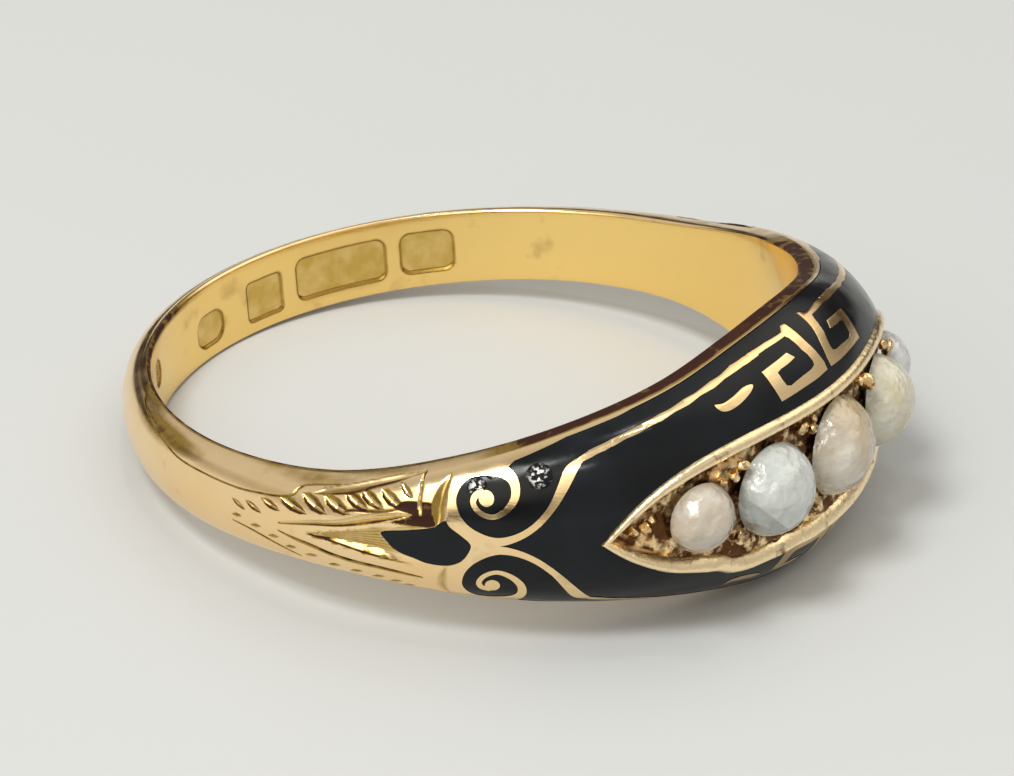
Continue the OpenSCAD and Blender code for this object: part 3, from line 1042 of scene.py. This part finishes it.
def head_layer(name, top, thick, edge_in, end):
    """A layer over the enamelled head."""

    def limit(a):
        return smooth(SECTIONS, 4, fold(a)) - edge_in

    return layer(name, top, thick, (-end, end), limit, HEAD_GRID)


def thicken(piece, thick):
    """Turns an open sheet away from the axis and gives it a thickness, inwards."""
    middle = piece.data.polygons[len(piece.data.polygons) // 2]
    if middle.normal.x * middle.center.x + middle.normal.y * middle.center.y < 0:
        piece.data.flip_normals()
    take(piece)
    solid = piece.modifiers.new("thick", "SOLIDIFY")
    solid.thickness = thick * MM
    solid.offset = -1
    bpy.ops.object.modifier_apply(modifier=solid.name)


def strip_wall(name, rows, side, edge, grow):
    """Upright solid along rows of angle, upper edge and lower edge."""
    rows = np.array(rows, float)

    def place(u, v):
        a = np.interp(u, np.linspace(0, 1, len(rows)), rows[:, 0])
        top = np.interp(a, rows[:, 0], rows[:, 1]) + grow
        low = np.interp(a, rows[:, 0], rows[:, 2]) - grow
        return round_point(a, PRISM_LOW, (low + (top - low) * v) * edge) * (side, 1, 1)

    piece = sheet_of(name, len(rows) - 1, 1, place)
    spread_out(piece, PRISM_LOW)
    return piece


def scroll_solid(side, edge, grow):
    """One scroll's gold line, pushed out of the ring."""
    rows = curve_through(SCROLL)
    rows[:, 2] += 2 * grow
    left, right = ribbon(rows)
    angle = degrees_of("scroll_angle")

    def place(u, v):
        i = np.rint(u * (len(rows) - 1)).astype(int)
        flat = left[i] + (right[i] - left[i]) * v[:, None]
        return facing(angle, flat[:, 0], flat[:, 1] * edge, PRISM_LOW) * (side, 1, 1)

    piece = sheet_of("scroll", len(rows) - 1, 1, place)
    push_out(piece, angle, side)
    return piece


def shoulder_outline():
    """Gold on the shank's side of the scrolls."""
    turn = curve_through([row[:2] for row in SCROLL[TURN_FROM:TURN_TO + 1]])
    upper = np.concatenate([turn, RIM_TAPER, [(4.3, 3.2), (-3.4, 3.2)]])
    return np.concatenate([upper, upper[::-1] * (1, -1)])


def setting_solid(inset, low):
    """The setting's outline as an upright solid."""
    a = setting_tip(inset) * np.sin(np.linspace(-90, 90, 81) * math.pi / 180)
    share = setting_share(a, inset)
    half = setting_half(share, inset)
    middle = setting_middle(a)

    def place(u, v):
        i = np.rint(u * (len(a) - 1)).astype(int)
        below = half[i] + low_ledge(share[i])
        return round_point(a[i], low, middle[i] + np.where(v > 0.5, half[i], -below))

    piece = sheet_of("setting_wall", len(a) - 1, 1, place)
    spread_out(piece, low)
    return piece


def cut_pattern(piece, grow):
    """Takes the gold lines out of a layer of enamel."""
    key_at = degrees_of("key_angle")
    comma_at = degrees_of("comma_angle")
    scroll_at = degrees_of("scroll_angle")
    comma = curve_through(COMMA, closed=True)
    eye = [(EYE[0] + EYE[2] * math.cos(t), EYE[1] + EYE[2] * math.sin(t))
           for t in np.radians(np.arange(0, 360, 15))]
    flats = [setting_solid(-grow, PRISM_LOW)]
    for side in (1, -1):
        flats.append(prism("shoulder", shoulder_outline(), scroll_at, side, 1, grow))
        for edge in (1, -1):
            flats.append(prism("key", KEY, key_at, side, edge, grow))
            if side == 1:
                flats.append(prism("comma", comma, comma_at, side, edge, grow))
            flats.append(prism("eye", eye, scroll_at, side, edge, grow))
    groups = [flats]
    for edge in (1, -1):
        lines = []
        for side in (1, -1):
            lines.append(scroll_solid(side, edge, grow))
            lines.append(strip_wall("line", THIN_LINE, side, -edge, grow))
        groups.append(lines)
    for group in groups:
        cut(piece, joined("pattern", group))


def drop_solid(side, top, thick, grow):
    """A drop of enamel in its cell, or the cell itself."""
    reach = [angle * side for angle in DROP_REACH]
    piece = layer("drop", top, thick, reach, lambda a: DROP_HALF, DROP_GRID)
    outline = curve_through(DROP, closed=True)
    tool = prism("drop_outline", outline, degrees_of("scroll_angle"), side, 1, grow)
    cut(piece, tool, "INTERSECT")
    return piece


def border_ring():
    """The rounded border of the setting."""
    around = 240
    turn = np.radians((np.arange(around) + 0.5) * 360 / around)
    along = np.sin(turn)
    upper = np.cos(turn) > 0
    points = []
    for inset_up, inset_low, height in BORDER:
        tip_inset = (inset_up + inset_low) / 2
        a = setting_tip(tip_inset) * np.sign(along) * np.abs(along) ** 0.8
        share = setting_share(a, tip_inset)
        half = setting_half(share, np.where(upper, inset_up, inset_low))
        z = setting_middle(a) + np.where(upper, half, -half - low_ledge(share))
        q = np.arcsin(np.clip(z / half_width(a), -1, 1))
        points.append(round_point(a, dome_radius(a, q) + height, z))
    return rolled("setting_border", np.stack(points, axis=1))


def setting_floor():
    """The rough floor of the setting."""
    rng = np.random.default_rng(7)
    phases = rng.uniform(0, 2 * math.pi, (FLOOR_WAVES, 2))
    waves = rng.normal(0, 9, (FLOOR_WAVES, 2))

    def place(u, v):
        a = (2 * u - 1) * (degrees_of("setting_angle") - FLOOR_SHORT)
        half = setting_half(setting_share(a, FLOOR_INSET), FLOOR_INSET)
        z = setting_middle(a) + (2 * v - 1) * half
        x = np.radians(a) * 11
        rough = sum(np.sin(k[0] * x + p[0]) * np.sin(k[1] * z + p[1])
                    for k, p in zip(waves, phases))
        return round_point(a, floor_radius(a) + FLOOR_ROUGH * rough, z)

    piece = sheet_of("setting_floor", *FLOOR_GRID, place)
    thicken(piece, FLOOR_THICK)
    return piece


def nugget(index, row):
    """One rough grain of gold, raised from the floor with a graver."""
    angle, z, height, girth = row
    rng = np.random.default_rng(100 + index)
    start_alone()
    bpy.ops.mesh.primitive_ico_sphere_add(subdivisions=3, radius=MM)
    piece = bpy.context.object
    piece.name = "grain"
    ball = read_points(piece)
    facets = rng.normal(0, 1, (9, 3))
    facets /= np.linalg.norm(facets, axis=1)[:, None]
    reach = np.full(len(ball), 1.0)
    for way in facets:
        along = ball @ way
        reach = np.minimum(reach, rng.uniform(0.5, 0.85) / np.maximum(along, 0.05))
    ball = ball * reach[:, None] * girth * rng.uniform(0.8, 1.35, 3)
    put_points(piece, ball + round_point(angle, floor_radius(angle) + height, z))
    return piece


def half_pearl(name):
    """A pearl sawn in half, a little uneven, where its solid lies."""
    upright = LAID_DOWN.inverted()
    solid = frame["nodes"][name].data
    local = np.array([upright @ corner.co for corner in solid.vertices]) / MM
    t = math.atan2(-local[:, 0].mean(), -local[:, 1].mean())
    out = np.array((-math.sin(t), -math.cos(t), 0))
    along = np.array((math.cos(t), -math.sin(t), 0))
    depth = local @ out
    seat = depth.min()
    high = depth.max() - seat
    girdle = local[np.abs(depth - seat) < 0.02]
    wide = np.ptp(girdle[:, 2]) / 2
    middle = (girdle[:, 2].max() + girdle[:, 2].min()) / 2
    ball_r = (wide**2 + high**2) / (2 * high)
    start_alone()
    bpy.ops.mesh.primitive_uv_sphere_add(segments=72, ring_count=40, radius=MM)
    piece = bpy.context.object
    piece.name = name + "_nacre"
    ball = read_points(piece)
    rng = np.random.default_rng(int(name[-1]))
    ways = rng.normal(0, 1, (6, 3))
    uneven = sum(np.sin(2.4 * (ball @ way) + i) for i, way in enumerate(ways)) * 0.0035
    ball = ball * (ball_r * (1 + uneven))[:, None]
    centre = out * (seat + high - ball_r) + np.array((0, 0, middle))
    placed = (ball[:, :1] * along + ball[:, 1:2] * np.array((0, 0, 1.0))
              + ball[:, 2:] * out + centre)
    put_points(piece, placed)
    edit_all(piece)
    bpy.ops.mesh.bisect(
        plane_co=tuple(out * seat * MM), plane_no=tuple(out), use_fill=True, clear_inner=True
    )
    bpy.ops.object.mode_set(mode="OBJECT")
    drop_strays(piece)
    outward(piece)
    return piece


def new_material(name, values):
    """A material with its tree and its shader, which has the values given."""
    material = bpy.data.materials.new(name)
    material.use_nodes = True
    tree = material.node_tree
    shader = next(n for n in tree.nodes if n.type == "BSDF_PRINCIPLED")
    for socket, value in values.items():
        shader.inputs[socket].default_value = value
    return material, tree, shader


def node(tree, kind, values=None, **settings):
    """A node with its settings and the values of its sockets."""
    made = tree.nodes.new(kind)
    for name, value in settings.items():
        setattr(made, name, value)
    for name, value in (values or {}).items():
        made.inputs[name].default_value = value
    return made


def linked(tree, kind, sockets, output, values=None, **settings):
    """An output of a new node, whose numbered or named sockets take other nodes' outputs."""
    made = node(tree, kind, values, **settings)
    for socket, value in sockets.items():
        tree.links.new(value, made.inputs[socket])
    return made.outputs[output]


def place_of(tree, scale=(1, 1, 1), start=(0, 0, 0)):
    """Place on the piece, moved and scaled."""
    at = node(tree, "ShaderNodeTexCoord").outputs["Object"]
    values = {"Scale": scale, "Location": start}
    return linked(tree, "ShaderNodeMapping", {"Vector": at}, "Vector", values)


def noise(tree, at, scale, detail, roughness=0.5):
    """Cloudy noise over the piece."""
    values = {"Scale": scale, "Detail": detail, "Roughness": roughness}
    return linked(tree, "ShaderNodeTexNoise", {"Vector": at}, "Fac", values)


def ramp(tree, factor, stops):
    """Colours by a factor: stops hold a position and a colour."""
    made = node(tree, "ShaderNodeValToRGB")
    elements = made.color_ramp.elements
    while len(elements) < len(stops):
        elements.new(0.5)
    for element, (position, tint) in zip(elements, stops):
        element.position = position
        element.color = (*tint, 1)
    tree.links.new(factor, made.inputs["Fac"])
    return made.outputs["Color"]


def between(tree, value, low, high, out_low=0.0, out_high=1.0):
    """A number carried from one range to another, held at its ends."""
    values = {"From Min": low, "From Max": high, "To Min": out_low, "To Max": out_high}
    return linked(tree, "ShaderNodeMapRange", {"Value": value}, "Result", values)


def reckon(tree, operation, first, second):
    """One number from two."""
    return linked(tree, "ShaderNodeMath", {0: first, 1: second}, 0, operation=operation)


def mixed(tree, factor, first, second):
    """Two colours mixed by a factor; each may be a colour or a socket."""
    made = node(tree, "ShaderNodeMix", data_type="RGBA")
    tree.links.new(factor, made.inputs[0])
    for socket, value in ((made.inputs[6], first), (made.inputs[7], second)):
        if isinstance(value, bpy.types.NodeSocket):
            tree.links.new(value, socket)
        else:
            socket.default_value = (*value, 1)
    return made.outputs[2]


def tinted(tint, factors):
    """A colour with its red, green and blue each multiplied."""
    return tuple(c * k for c, k in zip(tint, factors))


def bumped(tree, height, strength, distance, normal=None):
    """A normal that follows a height, on top of another normal where one is given."""
    sockets = {"Height": height, **({"Normal": normal} if normal else {})}
    values = {"Strength": strength, "Distance": distance}
    return linked(tree, "ShaderNodeBump", sockets, "Normal", values)


def towards(tree, direction, way, low, high):
    """How far a direction points one way, from 0 at low to 1 at high."""
    dot = linked(tree, "ShaderNodeVectorMath", {0: direction}, "Value", {1: way},
                 operation="DOT_PRODUCT")
    return between(tree, dot, low, high)


def mark_of(tree, name):
    """A number stored at the vertices."""
    return node(tree, "ShaderNodeAttribute", attribute_name=name).outputs["Fac"]


def worn(tree, shader, base, tarnish, roughness, wear):
    """Gold with a worn surface: faint scratches, low waves and a little tarnish."""
    at = place_of(tree)
    dirt = between(tree, noise(tree, at, 900, 4), 0.62, 0.75, 0.0, wear)
    tree.links.new(mixed(tree, dirt, base, tarnish), shader.inputs["Base Color"])
    rough = between(tree, noise(tree, at, 1500, 4), 0.3, 0.7, roughness * 0.7, roughness * 1.4)
    tree.links.new(rough, shader.inputs["Roughness"])
    scratch = noise(tree, place_of(tree, (1, 1, 9)), 2600, 2)
    waves = bumped(tree, noise(tree, at, 240, 2), 0.16, 0.0002)
    dents = bumped(tree, noise(tree, at, 1100, 2), 0.05, 0.0001, waves)
    tree.links.new(bumped(tree, scratch, 0.05, 0.00005, dents), shader.inputs["Normal"])
    return rough


def setting_material(name, tint, tarnish, darkened, roughness, bump):
    """Rough gold with brown dirt where two noises together rise through a range."""
    material, tree, shader = new_material(name, {"Metallic": 1.0})
    at = place_of(tree)
    fine = noise(tree, at, 4200, 4, 0.6)
    dirt = between(tree, reckon(tree, "ADD", fine, noise(tree, at, 1300, 2)), *darkened)
    worn(tree, shader, mixed(tree, dirt, tint, tarnish), tarnish, roughness, 0.3)
    tree.links.new(bumped(tree, fine, bump, 0.0001), shader.inputs["Normal"])
    return material


def band_material(finish):
    """Gold of the band: darkened by soil and painted shade in the engraving and on the rims,
    brassy in the punch marks, and deeper in the finger hole, where its tint paints the light
    bounced between the walls.
    """
    values = {"Metallic": 1.0, "Specular IOR Level": 0.1}
    material, tree, shader = new_material("band_gold", values)
    at = place_of(tree)
    cloud = between(tree, noise(tree, at, 420, 3), 0.35, 0.65)
    outer = mixed(tree, cloud, finish.gold, tinted(finish.gold, (1, 0.94, 0.86)))
    # The finger hole takes the deeper copy of the gold: painted bounced light
    inner = mixed(tree, mark_of(tree, "hole"), outer, finish.hole_gold_painted_bounce)
    mottled = between(tree, noise(tree, at, 1700, 3), 0.4, 0.62)
    pale_brass = tinted(finish.hole_gold_painted_bounce, (0.8, 0.8, 0.8))
    punched_gold = mixed(tree, mottled, finish.brass, pale_brass)
    brass = mixed(tree, mark_of(tree, "field"), inner, punched_gold)
    patchy = between(tree, noise(tree, at, 3000, 3), 0.35, 0.6, 0.72, 1.0)
    soil_and_shade = reckon(tree, "MULTIPLY", mark_of(tree, "soil_and_shade"), patchy)
    # Soil and painted shade darken the gold to olive, then to dark brown
    dull = mixed(tree, between(tree, soil_and_shade, 0.0, 0.42), brass, finish.olive)
    soiled_and_shaded = mixed(tree, between(tree, soil_and_shade, 0.42, 0.78), dull, finish.soil_and_shade)
    rough = worn(tree, shader, soiled_and_shaded, finish.tarnish, 0.18, 0.3)
    rougher = reckon(tree, "ADD", rough, between(tree, soil_and_shade, 0.3, 0.8, 0.0, 0.35))
    tree.links.new(rougher, shader.inputs["Roughness"])
    tree.links.new(between(tree, soil_and_shade, 0.42, 0.78, 1.0, 0.1), shader.inputs["Metallic"])
    return material


def enamel_material(tint):
    """Black glass, with faint waves, fine scratches and a few pitted places that hold painted
    white glints.
    """
    values = {"IOR": 1.52, "Specular IOR Level": 0.16}
    material, tree, shader = new_material("black_enamel", values)
    at = place_of(tree)
    places = []
    for angle, height, reach in ENAMEL_PITS:
        from_crown = math.degrees(math.asin(height / half_width(angle)))
        spot = LAID_DOWN @ Vector(dome(angle, from_crown, 0) * MM)
        away = linked(tree, "ShaderNodeVectorMath", {0: at}, "Value", {1: spot},
                      operation="DISTANCE")
        places.append(between(tree, away, reach * MM, reach * 0.3 * MM))
    pitted = places[0]
    for place in places[1:]:
        pitted = reckon(tree, "MAXIMUM", pitted, place)
    grit = noise(tree, at, 9000, 3)
    # Painted glints: white specks in the pits
    painted_glints = reckon(tree, "MULTIPLY", pitted, between(tree, grit, 0.52, 0.58))
    craters = reckon(tree, "MULTIPLY", pitted, grit)
    cloud = between(tree, noise(tree, at, 700, 3), 0.35, 0.7)
    glass = mixed(tree, cloud, tint, tinted(tint, (1.6, 1.7, 2.0)))
    tree.links.new(mixed(tree, painted_glints, glass, (0.95, 0.93, 0.90)), shader.inputs["Base Color"])
    rough = between(tree, noise(tree, at, 1800, 4), 0.3, 0.7, 0.10, 0.24)
    tree.links.new(rough, shader.inputs["Roughness"])
    soft = bumped(tree, noise(tree, at, 330, 2), 0.16, 0.0002)
    scratched = bumped(tree, noise(tree, at, 5000, 3), 0.03, 0.00004, soft)
    tree.links.new(bumped(tree, craters, 1.0, 0.00012, scratched), shader.inputs["Normal"])
    return material


def pearl_material(name):
    """Nacre: a soft pale body under a clear, slightly uneven skin, with painted shade towards its
    seat and on one side.
    """
    number = int(name[-1])
    pale, warm, way, start, end, shade_tint = NACRE[name]
    values = {"IOR": 1.6, "Coat Weight": 1.0, "Coat Roughness": 0.14,
              "Subsurface Weight": 0.12, "Subsurface Scale": 0.0004}
    material, tree, shader = new_material("nacre_%d" % number, values)
    at = place_of(tree, start=((number - 1) * 0.01, 0, 0))
    cloud = between(tree, noise(tree, at, 900, 4), 0.38, 0.62)
    body = mixed(tree, cloud, pale, warm)
    low, high = (Vector(corner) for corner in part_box(name))
    middle = (low + high) / 2
    reach = (high.z - low.z) / 2
    inwards = Vector((-middle.x, -middle.y, 0)).normalized()
    # Painted shade: darker towards the seat, then on one side of each pearl
    parts = [(inwards, inwards, -0.25, 0.75, tinted(warm, (0.45, 0.45, 0.45))),
             (way, Vector(way).normalized(), start, end, shade_tint)]
    whole_place = node(tree, "ShaderNodeTexCoord").outputs["Object"]
    for along, unit, first, last, tint in parts:
        base = unit.dot(middle)
        far = towards(tree, whole_place, along, base + first * reach, base + last * reach)
        body = mixed(tree, far, body, tint)
    spots = between(tree, noise(tree, at, 2600, 4), 0.58, 0.70, 0.0, 0.7)
    tree.links.new(mixed(tree, spots, body, warm), shader.inputs["Base Color"])
    rough = between(tree, noise(tree, at, 1400, 3), 0.3, 0.7, 0.12, 0.3)
    tree.links.new(rough, shader.inputs["Roughness"])
    waves = bumped(tree, noise(tree, at, 1300, 2), 0.8, 0.0003)
    soft = bumped(tree, noise(tree, at, 5000, 3), 0.7, 0.00006, waves)
    tree.links.new(soft, shader.inputs["Normal"])
    tree.links.new(soft, shader.inputs["Coat Normal"])
    return material


class RING_OT_band(bpy.types.Operator):
    """Make the gold band with its engraving, its cells and its blank punch marks"""

    bl_idname = "ring.band"
    bl_label = "Gold band"

    def execute(self, context):
        finish = context.scene.ring_finish
        band = gold_body()
        cells = head_layer("cells", CELL_TOP, ENAMEL_DEPTH - CELL_TOP, 0, ENAMEL_END)
        cut_pattern(cells, 0)
        tools = [cells]
        tools += [drop_solid(side, CELL_TOP, ENAMEL_DEPTH - CELL_TOP, 0) for side in (1, -1)]
        tools.append(setting_solid(WELL_INSET, WELL_R))
        for tool in tools:
            cut(band, tool)
        finish_piece(band, band_material(finish), replaces=("band",))
        return {"FINISHED"}


class RING_OT_setting(bpy.types.Operator):
    """Make the border, the floor and the grains of the pearl setting"""

    bl_idname = "ring.setting"
    bl_label = "Pearl setting"

    def execute(self, context):
        finish = context.scene.ring_finish
        pieces = [border_ring(), setting_floor()]
        pieces.append(joined("grains", [nugget(i, row) for i, row in enumerate(NUGGETS)]))
        golds = [
            ("border_gold", finish.pale_gold, (1.1, 1.42), 0.22, 0.3, 50),
            ("floor_gold", finish.gold, (0.82, 1.02), 0.34, 0.8, 50),
            ("grain_gold", finish.gold, (1.0, 1.2), 0.22, 0.3, 12),
        ]
        for piece, (name, tint, darkened, roughness, bump, sharp) in zip(pieces, golds):
            gold = setting_material(name, tint, finish.tarnish, darkened, roughness, bump)
            finish_piece(piece, gold, sharp)
        return {"FINISHED"}


class RING_OT_enamel(bpy.types.Operator):
    """Lay the black enamel in its cells"""

    bl_idname = "ring.enamel"
    bl_label = "Black enamel"

    def execute(self, context):
        material = enamel_material(context.scene.ring_finish.enamel)
        field = head_layer("enamel_head", ENAMEL_SINK, ENAMEL_THICK, 0.5, ENAMEL_END + 2)
        cut_pattern(field, SEAT_GAP)
        drop_strays(field)
        finish_piece(field, material, replaces=("enamel_field",))
        for side, word in ((1, "left"), (-1, "right")):
            drop = drop_solid(side, ENAMEL_SINK, ENAMEL_THICK, -SEAT_GAP)
            drop.name = "enamel_tear_" + word
            finish_piece(drop, material, replaces=("enamel_drop_" + word,))
        return {"FINISHED"}


class RING_OT_pearls(bpy.types.Operator):
    """Set the five half pearls"""

    bl_idname = "ring.pearls"
    bl_label = "Half pearls"

    def execute(self, context):
        for name in NACRE:
            pearl = half_pearl(name)
            finish_piece(pearl, pearl_material(name), sharp=60, replaces=(name,))
        return {"FINISHED"}


class RING_OT_stage(bpy.types.Operator):
    """Set the floor, the light and the camera"""

    bl_idname = "ring.stage"
    bl_label = "Stage"

    def execute(self, context):
        lay_floor(context.scene.ring_finish.floor)
        light_stage()
        place_camera(context.scene.ring_stage)
        return {"FINISHED"}


def lay_floor(tint):
    """A pale, matt floor."""
    start_alone()
    bpy.ops.mesh.primitive_plane_add(size=3.0)
    floor = bpy.context.object
    floor.name = "floor"
    material, tree, shader = new_material("pale_floor", {"Roughness": 0.7})
    at = place_of(tree)
    cooler = tinted(tint, (0.97, 0.98, 1.0))
    tree.links.new(mixed(tree, noise(tree, at, 60, 3), tint, cooler), shader.inputs["Base Color"])
    floor.data.materials.append(material)


def soft_light(name, place, wide, watts):
    """A square light that faces the ring."""
    bpy.ops.object.light_add(type="AREA", location=place)
    light = bpy.context.object
    light.name = name
    light.data.size = wide
    light.data.energy = watts
    light.rotation_euler = (-Vector(place)).to_track_quat("-Z", "Y").to_euler()


def light_stage():
    """A pale room with a dark low far side, a soft window and small lamps."""
    scene = bpy.context.scene
    scene.view_settings.view_transform = "Standard"
    world = scene.world or bpy.data.worlds.new("studio")
    scene.world = world
    world.use_nodes = True
    tree = world.node_tree
    background = next(n for n in tree.nodes if n.type == "BACKGROUND")
    direction = node(tree, "ShaderNodeTexCoord").outputs["Generated"]
    height = towards(tree, direction, (0, 0, 1), 0.0, 1.0)
    low = between(tree, height, 0.42, 0.28)
    far = reckon(tree, "MULTIPLY", towards(tree, direction, (0.81, 0.586, 0), 0.25, 0.65), low)
    room = mixed(tree, far, ramp(tree, height, ROOM), FAR_WALL)
    for way, start, full, tint in PATCHES:
        room = mixed(tree, towards(tree, direction, way, start, full), room, tint)
    tree.links.new(room, background.inputs["Color"])
    background.inputs["Strength"].default_value = 1.0
    for row in LIGHTS:
        soft_light(*row)


def place_camera(stage):
    """The camera at the photograph's angle."""
    a = stage.azimuth
    e = stage.elevation
    back = Vector((-math.sin(a) * math.cos(e), -math.cos(a) * math.cos(e), math.sin(e)))
    level = Vector((0, 0, 1)).cross(back).normalized()
    rise = back.cross(level)
    right = level * math.cos(stage.roll) + rise * math.sin(stage.roll)
    up = back.cross(right)
    bpy.ops.object.camera_add()
    camera = bpy.context.object
    camera.name = "camera"
    place = Vector(stage.target) + back * stage.distance
    turn = Matrix((right, up, back)).transposed().to_4x4()
    camera.matrix_world = Matrix.Translation(place) @ turn
    camera.data.sensor_width = 36
    camera.data.lens = stage.lens
    camera.data.clip_start = 0.005
    bpy.context.scene.camera = camera


class RING_PT_tools(bpy.types.Panel):
    """Lists the pieces of the ring."""

    bl_label = "Enamel ring"
    bl_idname = "RING_PT_tools"
    bl_space_type = "VIEW_3D"
    bl_region_type = "UI"
    bl_category = "Ring"

    def draw(self, context):
        for group in ("ring_sizes", "ring_finish", "ring_stage"):
            values = getattr(context.scene, group)
            box = self.layout.box()
            for name in values.__annotations__:
                box.prop(values, name)
        for step in STEPS:
            self.layout.operator(step.bl_idname)


STEPS = (RING_OT_band, RING_OT_setting, RING_OT_enamel, RING_OT_pearls, RING_OT_stage)
GROUPS = {"ring_sizes": RingSizes, "ring_finish": RingFinish, "ring_stage": RingStage}


def register():
    for kind in (*GROUPS.values(), *STEPS, RING_PT_tools):
        bpy.utils.register_class(kind)
    for name, kind in GROUPS.items():
        setattr(bpy.types.Scene, name, bpy.props.PointerProperty(type=kind))


def unregister():
    for name in GROUPS:
        delattr(bpy.types.Scene, name)
    for kind in reversed((*GROUPS.values(), *STEPS, RING_PT_tools)):
        bpy.utils.unregister_class(kind)


def main():
    register()
    bpy.ops.ring.band()
    bpy.ops.ring.setting()
    bpy.ops.ring.enamel()
    bpy.ops.ring.pearls()
    bpy.ops.ring.stage()


if __name__ == "__main__":
    main()
